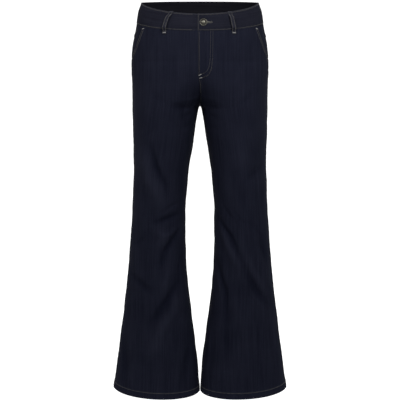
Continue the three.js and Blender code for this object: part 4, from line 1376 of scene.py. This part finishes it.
class Seams:
    """Gathers the threads of one group of seams and makes them into one piece."""

    def __init__(self):
        self.parts = []

    def row(self, names, points, normals, pitch=STITCH, radius=THREAD_RADIUS, gap=STITCH_GAP):
        """A row of stitches along a line near the cloth."""
        run = run_along(points)
        count = int(run[-1] / pitch)
        if count < 1:
            return
        starts = (np.arange(count) + 0.5) * run[-1] / count - (pitch - gap) / 2
        marks = np.concatenate((starts, starts + pitch - gap))
        spots, out, kept = land(names, at_marks(marks, run, points), unit(at_marks(marks, run, normals)))
        where = {k: i for i, k in enumerate(kept)}
        pairs = [(where[i], where[i + count]) for i in range(count) if i in where and i + count in where]
        if pairs:
            a, b = np.array(pairs).T
            self.parts.append(capsules(spots[a], spots[b], unit(out[a] + out[b]), radius))

    def tack(self, names, centre, normal, along, length, width=2.4, pitch=0.52, radius=0.34):
        """A bartack: threads laid close together across a short bar."""
        along = unit(along - normal * (along @ normal))
        across = np.cross(normal, along)
        places = np.arange(-length / 2, length / 2 + 0.01, pitch)[:, None]
        half = across * width / 2 + along * 0.16
        line = np.concatenate((centre + along * places + half, centre + along * places - half))
        count = len(places)
        both, _, _ = land(names, line, np.tile(normal, (2 * count, 1)))
        self.parts.append(capsules(both[:count], both[count:], np.tile(normal, (count, 1)), radius, 0.42))

    def made(self, name, material):
        piece = make_mesh(name, *join(self.parts), [material], sharp=80)
        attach(piece, "root")


def down_edge(side, front, edge, distance, z):
    """A line at a fixed distance from a panel's inner or side edge."""
    inwards = distance if front == (edge == "inner") else -distance
    return surface(side, walk(side, edge_turn(side, front, edge, z), z, inwards), z)


def heights(high, low, step=2.0):
    return np.linspace(high, low, max(2, int(abs(high - low) / step)))


def sew_fronts():
    seams, faint = Seams(), Seams()
    for side, word in SIDES:
        cloth = [f"front_panel_{word}"]
        mouth = heights(float(waist_seam(150)) - 6, POCKET_BOTTOM_Z + 1)
        below = heights(POCKET_BOTTOM_Z - 4, POCKET_BOTTOM_Z - 46)
        for distance, z in ((MOUTH_ROWS[0], mouth), (MOUTH_ROWS[1], mouth), (SIDE_ROW, below)):
            seams.row(cloth, *down_edge(side, True, "side", distance, z))
    cloth = ["front_panel_left"]
    for high, low in FLY_ROW_SPANS:
        seams.row(cloth, *down_edge(1, True, "inner", FLY_ROW, heights(high, low)))
    for points in (J_OUTER, J_INNER):
        line = through(points, 120)
        upper = line[:, 1] > FAINT_ABOVE
        faint.row(cloth, *on_front(*line[upper].T))
        seams.row(cloth, *on_front(*line[~upper].T))
    faint.made("stitching_fly", THREAD_FAINT)
    seams.made("stitching_fronts", THREAD)


def sew_long_seams():
    """The felled seams of the inner legs and the crotch, in thread that hardly shows."""
    seams = Seams()
    for side, word in SIDES:
        z = heights(CROTCH - 8, HEM_Z - 8)
        seams.row([f"front_panel_{word}"], *down_edge(side, True, "inner", INSEAM_ROW, z))
    for distance, span in zip(CROTCH_ROWS, CROTCH_SPANS):
        seams.row(["front_panel_left"], *down_edge(1, True, "inner", distance, heights(*span)))
    seams.made("stitching_long_seams", THREAD_NAVY)


def sew_hems():
    seams = Seams()
    for side, word in SIDES:
        for part, low, high in HEM_SPANS:
            turn = np.linspace(low, high, 160)
            seams.row([f"{part}_panel_{word}"], *surface(side, turn, hem_edge(turn) + HEM_STITCH))
    seams.made("stitching_hems", THREAD)


def sew_patch(seams, side, word):
    """Two rows along the sides and the point of a back pocket, and one below its mouth."""

    def row(*place):
        seams.row([f"back_pocket_{word}"], *surface(side, *patch_place(side, *place)))

    p = np.linspace(-1, 1, 200)
    deep = patch_deep(p)
    for inset in PATCH_ROWS:
        half = patch_half(deep)
        inner = p * (1 - inset / half)
        row(inner, deep - inset * 1.08, inner * half)
        for edge in (-1, 1):
            down = np.linspace(1.5, PATCH_SIDE - inset * 0.9, 70)
            row(edge, down, edge * (patch_half(down) - inset))
    row(p, PATCH_MOUTH_ROW, p * (patch_half(PATCH_MOUTH_ROW) - 1.5))


def sew_backs():
    seams = Seams()
    for side, word in SIDES:
        for up in SEAT_ROWS:
            turn = np.linspace(*YOKE_SPAN, 120)
            seams.row([f"yoke_{word}"], *surface(side, turn, yoke_seam(turn) + SEAM_GAP / 2 + up))
        sew_patch(seams, side, word)
    for distance in SEAT_ROWS:
        z = heights(float(waist_seam(270)) - 2, CROTCH + 3)
        turn = walk(1, turn_at_x(z, SEAM_GAP / 2, False), z, -distance)
        seams.row(["back_panel_left", "yoke_left"], *surface(1, turn, z))
    seams.made("stitching_backs", THREAD)


def sew_waistband():
    """One row along each edge of the band and one down its lapped end."""
    seams = Seams()
    sides, turns = band_stations()
    height = top_edge(turns) - waist_seam(turns)
    seen = slice(1, -BAND_UNDER_COLUMNS)
    for up in (BAND_LOW_ROW / height, 1 - BAND_ROW / height):
        base, normal, dive = band_frame(sides, turns, up)
        seams.row(["waistband"], raised(base, normal, -dive)[seen], normal[seen])
    z = lerp(waist_seam(turns[0]), top_edge(turns[0]), np.linspace(0.08, 0.92, 30))
    seams.row(["waistband"], *surface(1, walk(1, turns[0], z, BAND_ROW), z))
    seams.made("stitching_waistband", THREAD)


def sew_loops(bars):
    """Two rows down each belt loop, and a bartack at each of its ends."""
    seams, dark_bars = Seams(), Seams()
    aside = LOOP_WIDTH / 2 - LOOP_ROW
    for loop in LOOPS:
        for w in (-aside, aside):
            base, normal, out, _ = loop_frame(loop, np.linspace(0.05, 0.95, 40), np.full(40, w))
            seams.row([loop[0]], raised(base, normal, out), normal, 3.0, 0.36, 0.4)
        for q, group in ((0.05, dark_bars), (0.945, bars)):
            base, normal, out, _ = loop_frame(loop, np.full(3, q), np.array([0, -4.0, 4]))
            centre = raised(base, normal, out)[0]
            group.tack([loop[0]], centre, normal[0], base[2] - base[1], LOOP_BAR_LENGTH)
    dark_bars.made("bartacks_dark", THREAD_NAVY)
    seams.made("stitching_loops", THREAD_LOOP)


def sew_bartacks(bars):
    """Bars at both ends of the pocket mouths, at the foot of the fly and at the back pockets' corners."""
    level = np.array([1.0, 0, 0])
    for side, word in SIDES:
        for z, distance in ((float(waist_seam(150)) - 6.5, 5.0), (POCKET_BOTTOM_Z + 6, 6.4)):
            place = down_edge(side, True, "side", distance, z)
            bars.tack([f"front_panel_{word}"], *place, level, BAR_LENGTH)
    for x, z, along in FLY_BARS:
        bars.tack(["front_panel_left"], *on_front(x, z), np.array(along), BAR_LENGTH)
    for side, word in SIDES:
        for edge in (-1, 1):
            place = patch_place(side, edge, 4, edge * (PATCH_TOP - 5.1))
            bars.tack([f"back_pocket_{word}"], *surface(side, *place), level, BAR_LENGTH)
    bars.made("bartacks", THREAD_BAR)


def sew_buttonhole():
    """Purl stitches round the keyhole, side by side, fanned round both its ends."""
    line = keyhole()
    line = np.concatenate((line, line[:1]))
    run = run_along(line)
    marks = np.arange(0, run[-1], PURL_APART)
    spots = at_marks(marks, run, line)
    ahead = unit(at_marks((marks + 0.4) % run[-1], run, line) - spots)
    away = np.stack((ahead[:, 1], -ahead[:, 0]), -1)
    depth = np.interp(spots[:, 0], (EYE, SLIT), PURL_TO)[:, None]
    lines = [on_front(*(spots + away * inset + (BUTTON_X, BUTTON_Z)).T) for inset in (PURL_FROM, depth)]
    near, far = (land(["waistband"], *ends)[0] for ends in lines)
    seams = Seams()
    seams.parts.append(capsules(near, far, lines[0][1], 0.36, 0.5))
    seams.made("buttonhole_stitching", THREAD_EYE)


# The whole garment
for side, word in SIDES:
    panel(side, word, True)
    panel(side, word, False)
for make in (yoke, pocket_facing, patch_pocket):
    for side, word in SIDES:
        make(side, word)
fly_layer("fly_facing", -FLY_SHIFT, FLY_FACING, FACING_LEVEL, CLOTH, DENIM_INSIDE)
zip_fastener()
fly_layer("fly_shield", -ZIP_WIDTH / 2, FLY_SHIELD, SHIELD_LEVEL, 2 * CLOTH, DENIM)
band = waistband()
for loop in LOOPS:
    belt_loop(loop)
button()
sew_fronts()
sew_long_seams()
sew_hems()
sew_backs()
sew_waistband()
bartacks = Seams()
sew_loops(bartacks)
sew_bartacks(bartacks)
sew_buttonhole()
cut_buttonhole(band)
declare_sheets()

# Stage, light and camera
FLOOR_Z = -1.155
FLOOR_RADIUS, PAPER_CURVE, PAPER_TOP = 2.7, 0.9, 3.2
GLOW_FRONT, GLOW_BACK, GLOW_FROM, GLOW_TO = 0.17, 0.97, -1.5, 0.05
LENS, SENSOR, CAMERA_PLACE, CAMERA_DOWN = 82.676, 36, (0, -2.6, -0.24), 6.734
LAMPS = [
    ("key", (0.5, -1.25, 0.85), (0, 0, -0.1), (0.5, 0.4), 31, (1, 0.98, 0.95)),
    ("fill", (-0.85, -1.3, 0.75), (0, 0, -0.1), (0.6, 0.6), 18, (1, 0.95, 0.91)),
    ("back_key", (0.45, 1.75, 1.0), (0, 0, -0.25), (0.6, 0.5), 24, (1, 1, 1)),
    ("back_fill", (-0.6, 1.9, 0.7), (0, 0, -0.5), (0.7, 0.7), 13, (1, 1, 1)),
]


def backdrop():
    """A pale round floor that curves up into a wall beyond every camera, and glows behind the garment."""
    profile = [(0, FLOOR_Z), (0.6, FLOOR_Z), (1.4, FLOOR_Z), (FLOOR_RADIUS, FLOOR_Z)]
    for i in range(1, 13):
        angle = i / 12 * math.pi / 2
        rise = PAPER_CURVE * (1 - math.cos(angle))
        profile.append((FLOOR_RADIUS + PAPER_CURVE * math.sin(angle), FLOOR_Z + rise))
    profile.append((FLOOR_RADIUS + PAPER_CURVE, PAPER_TOP))
    points, faces = lathe(profile, 96, False)
    material, tree = new_material("paper")
    split = node(tree, "ShaderNodeSeparateXYZ", {0: node(tree, "ShaderNodeTexCoord", None, "Object")}, "Y")
    share = maths(tree, "DIVIDE", maths(tree, "SUBTRACT", split, GLOW_FROM), GLOW_TO - GLOW_FROM, True)
    squared = maths(tree, "MULTIPLY", share, share)
    shade(tree, {
        "Base Color": (0.3, 0.3, 0.3, 1),
        "Roughness": 0.95,
        "Specular IOR Level": 0.1,
        "Emission Color": (1, 1, 1, 1),
        "Emission Strength": weighted(tree, ((squared, GLOW_BACK - GLOW_FRONT),), GLOW_FRONT),
    })
    mesh_object("backdrop", points.tolist(), faces, [material])


def area_light(name, place, aim, size, power, colour):
    light = bpy.data.lights.new(name, "AREA")
    light.shape = "RECTANGLE"
    light.size, light.size_y = size
    light.energy = power
    light.color = colour
    made = bpy.data.objects.new(name, light)
    made.location = place
    made.rotation_euler = (Vector(aim) - Vector(place)).to_track_quat("-Z", "Y").to_euler()
    bpy.context.scene.collection.objects.link(made)


def surroundings():
    world = bpy.data.worlds.new("studio")
    world.use_nodes = True
    fill(world.node_tree, world.node_tree.nodes["Background"], {0: (0.8, 0.95, 1, 1), 1: 0.05})
    bpy.context.scene.world = world
    bpy.context.scene.view_settings.view_transform = "Standard"
    bpy.context.scene.view_settings.look = "None"


def camera():
    lens = bpy.data.cameras.new("camera")
    lens.sensor_width = SENSOR
    lens.lens = LENS
    made = bpy.data.objects.new("camera", lens)
    made.location = CAMERA_PLACE
    made.rotation_euler = (math.radians(90 - CAMERA_DOWN), 0, 0)
    bpy.context.scene.collection.objects.link(made)
    bpy.context.scene.camera = made


backdrop()
for lamp in LAMPS:
    area_light(*lamp)
surroundings()
camera()
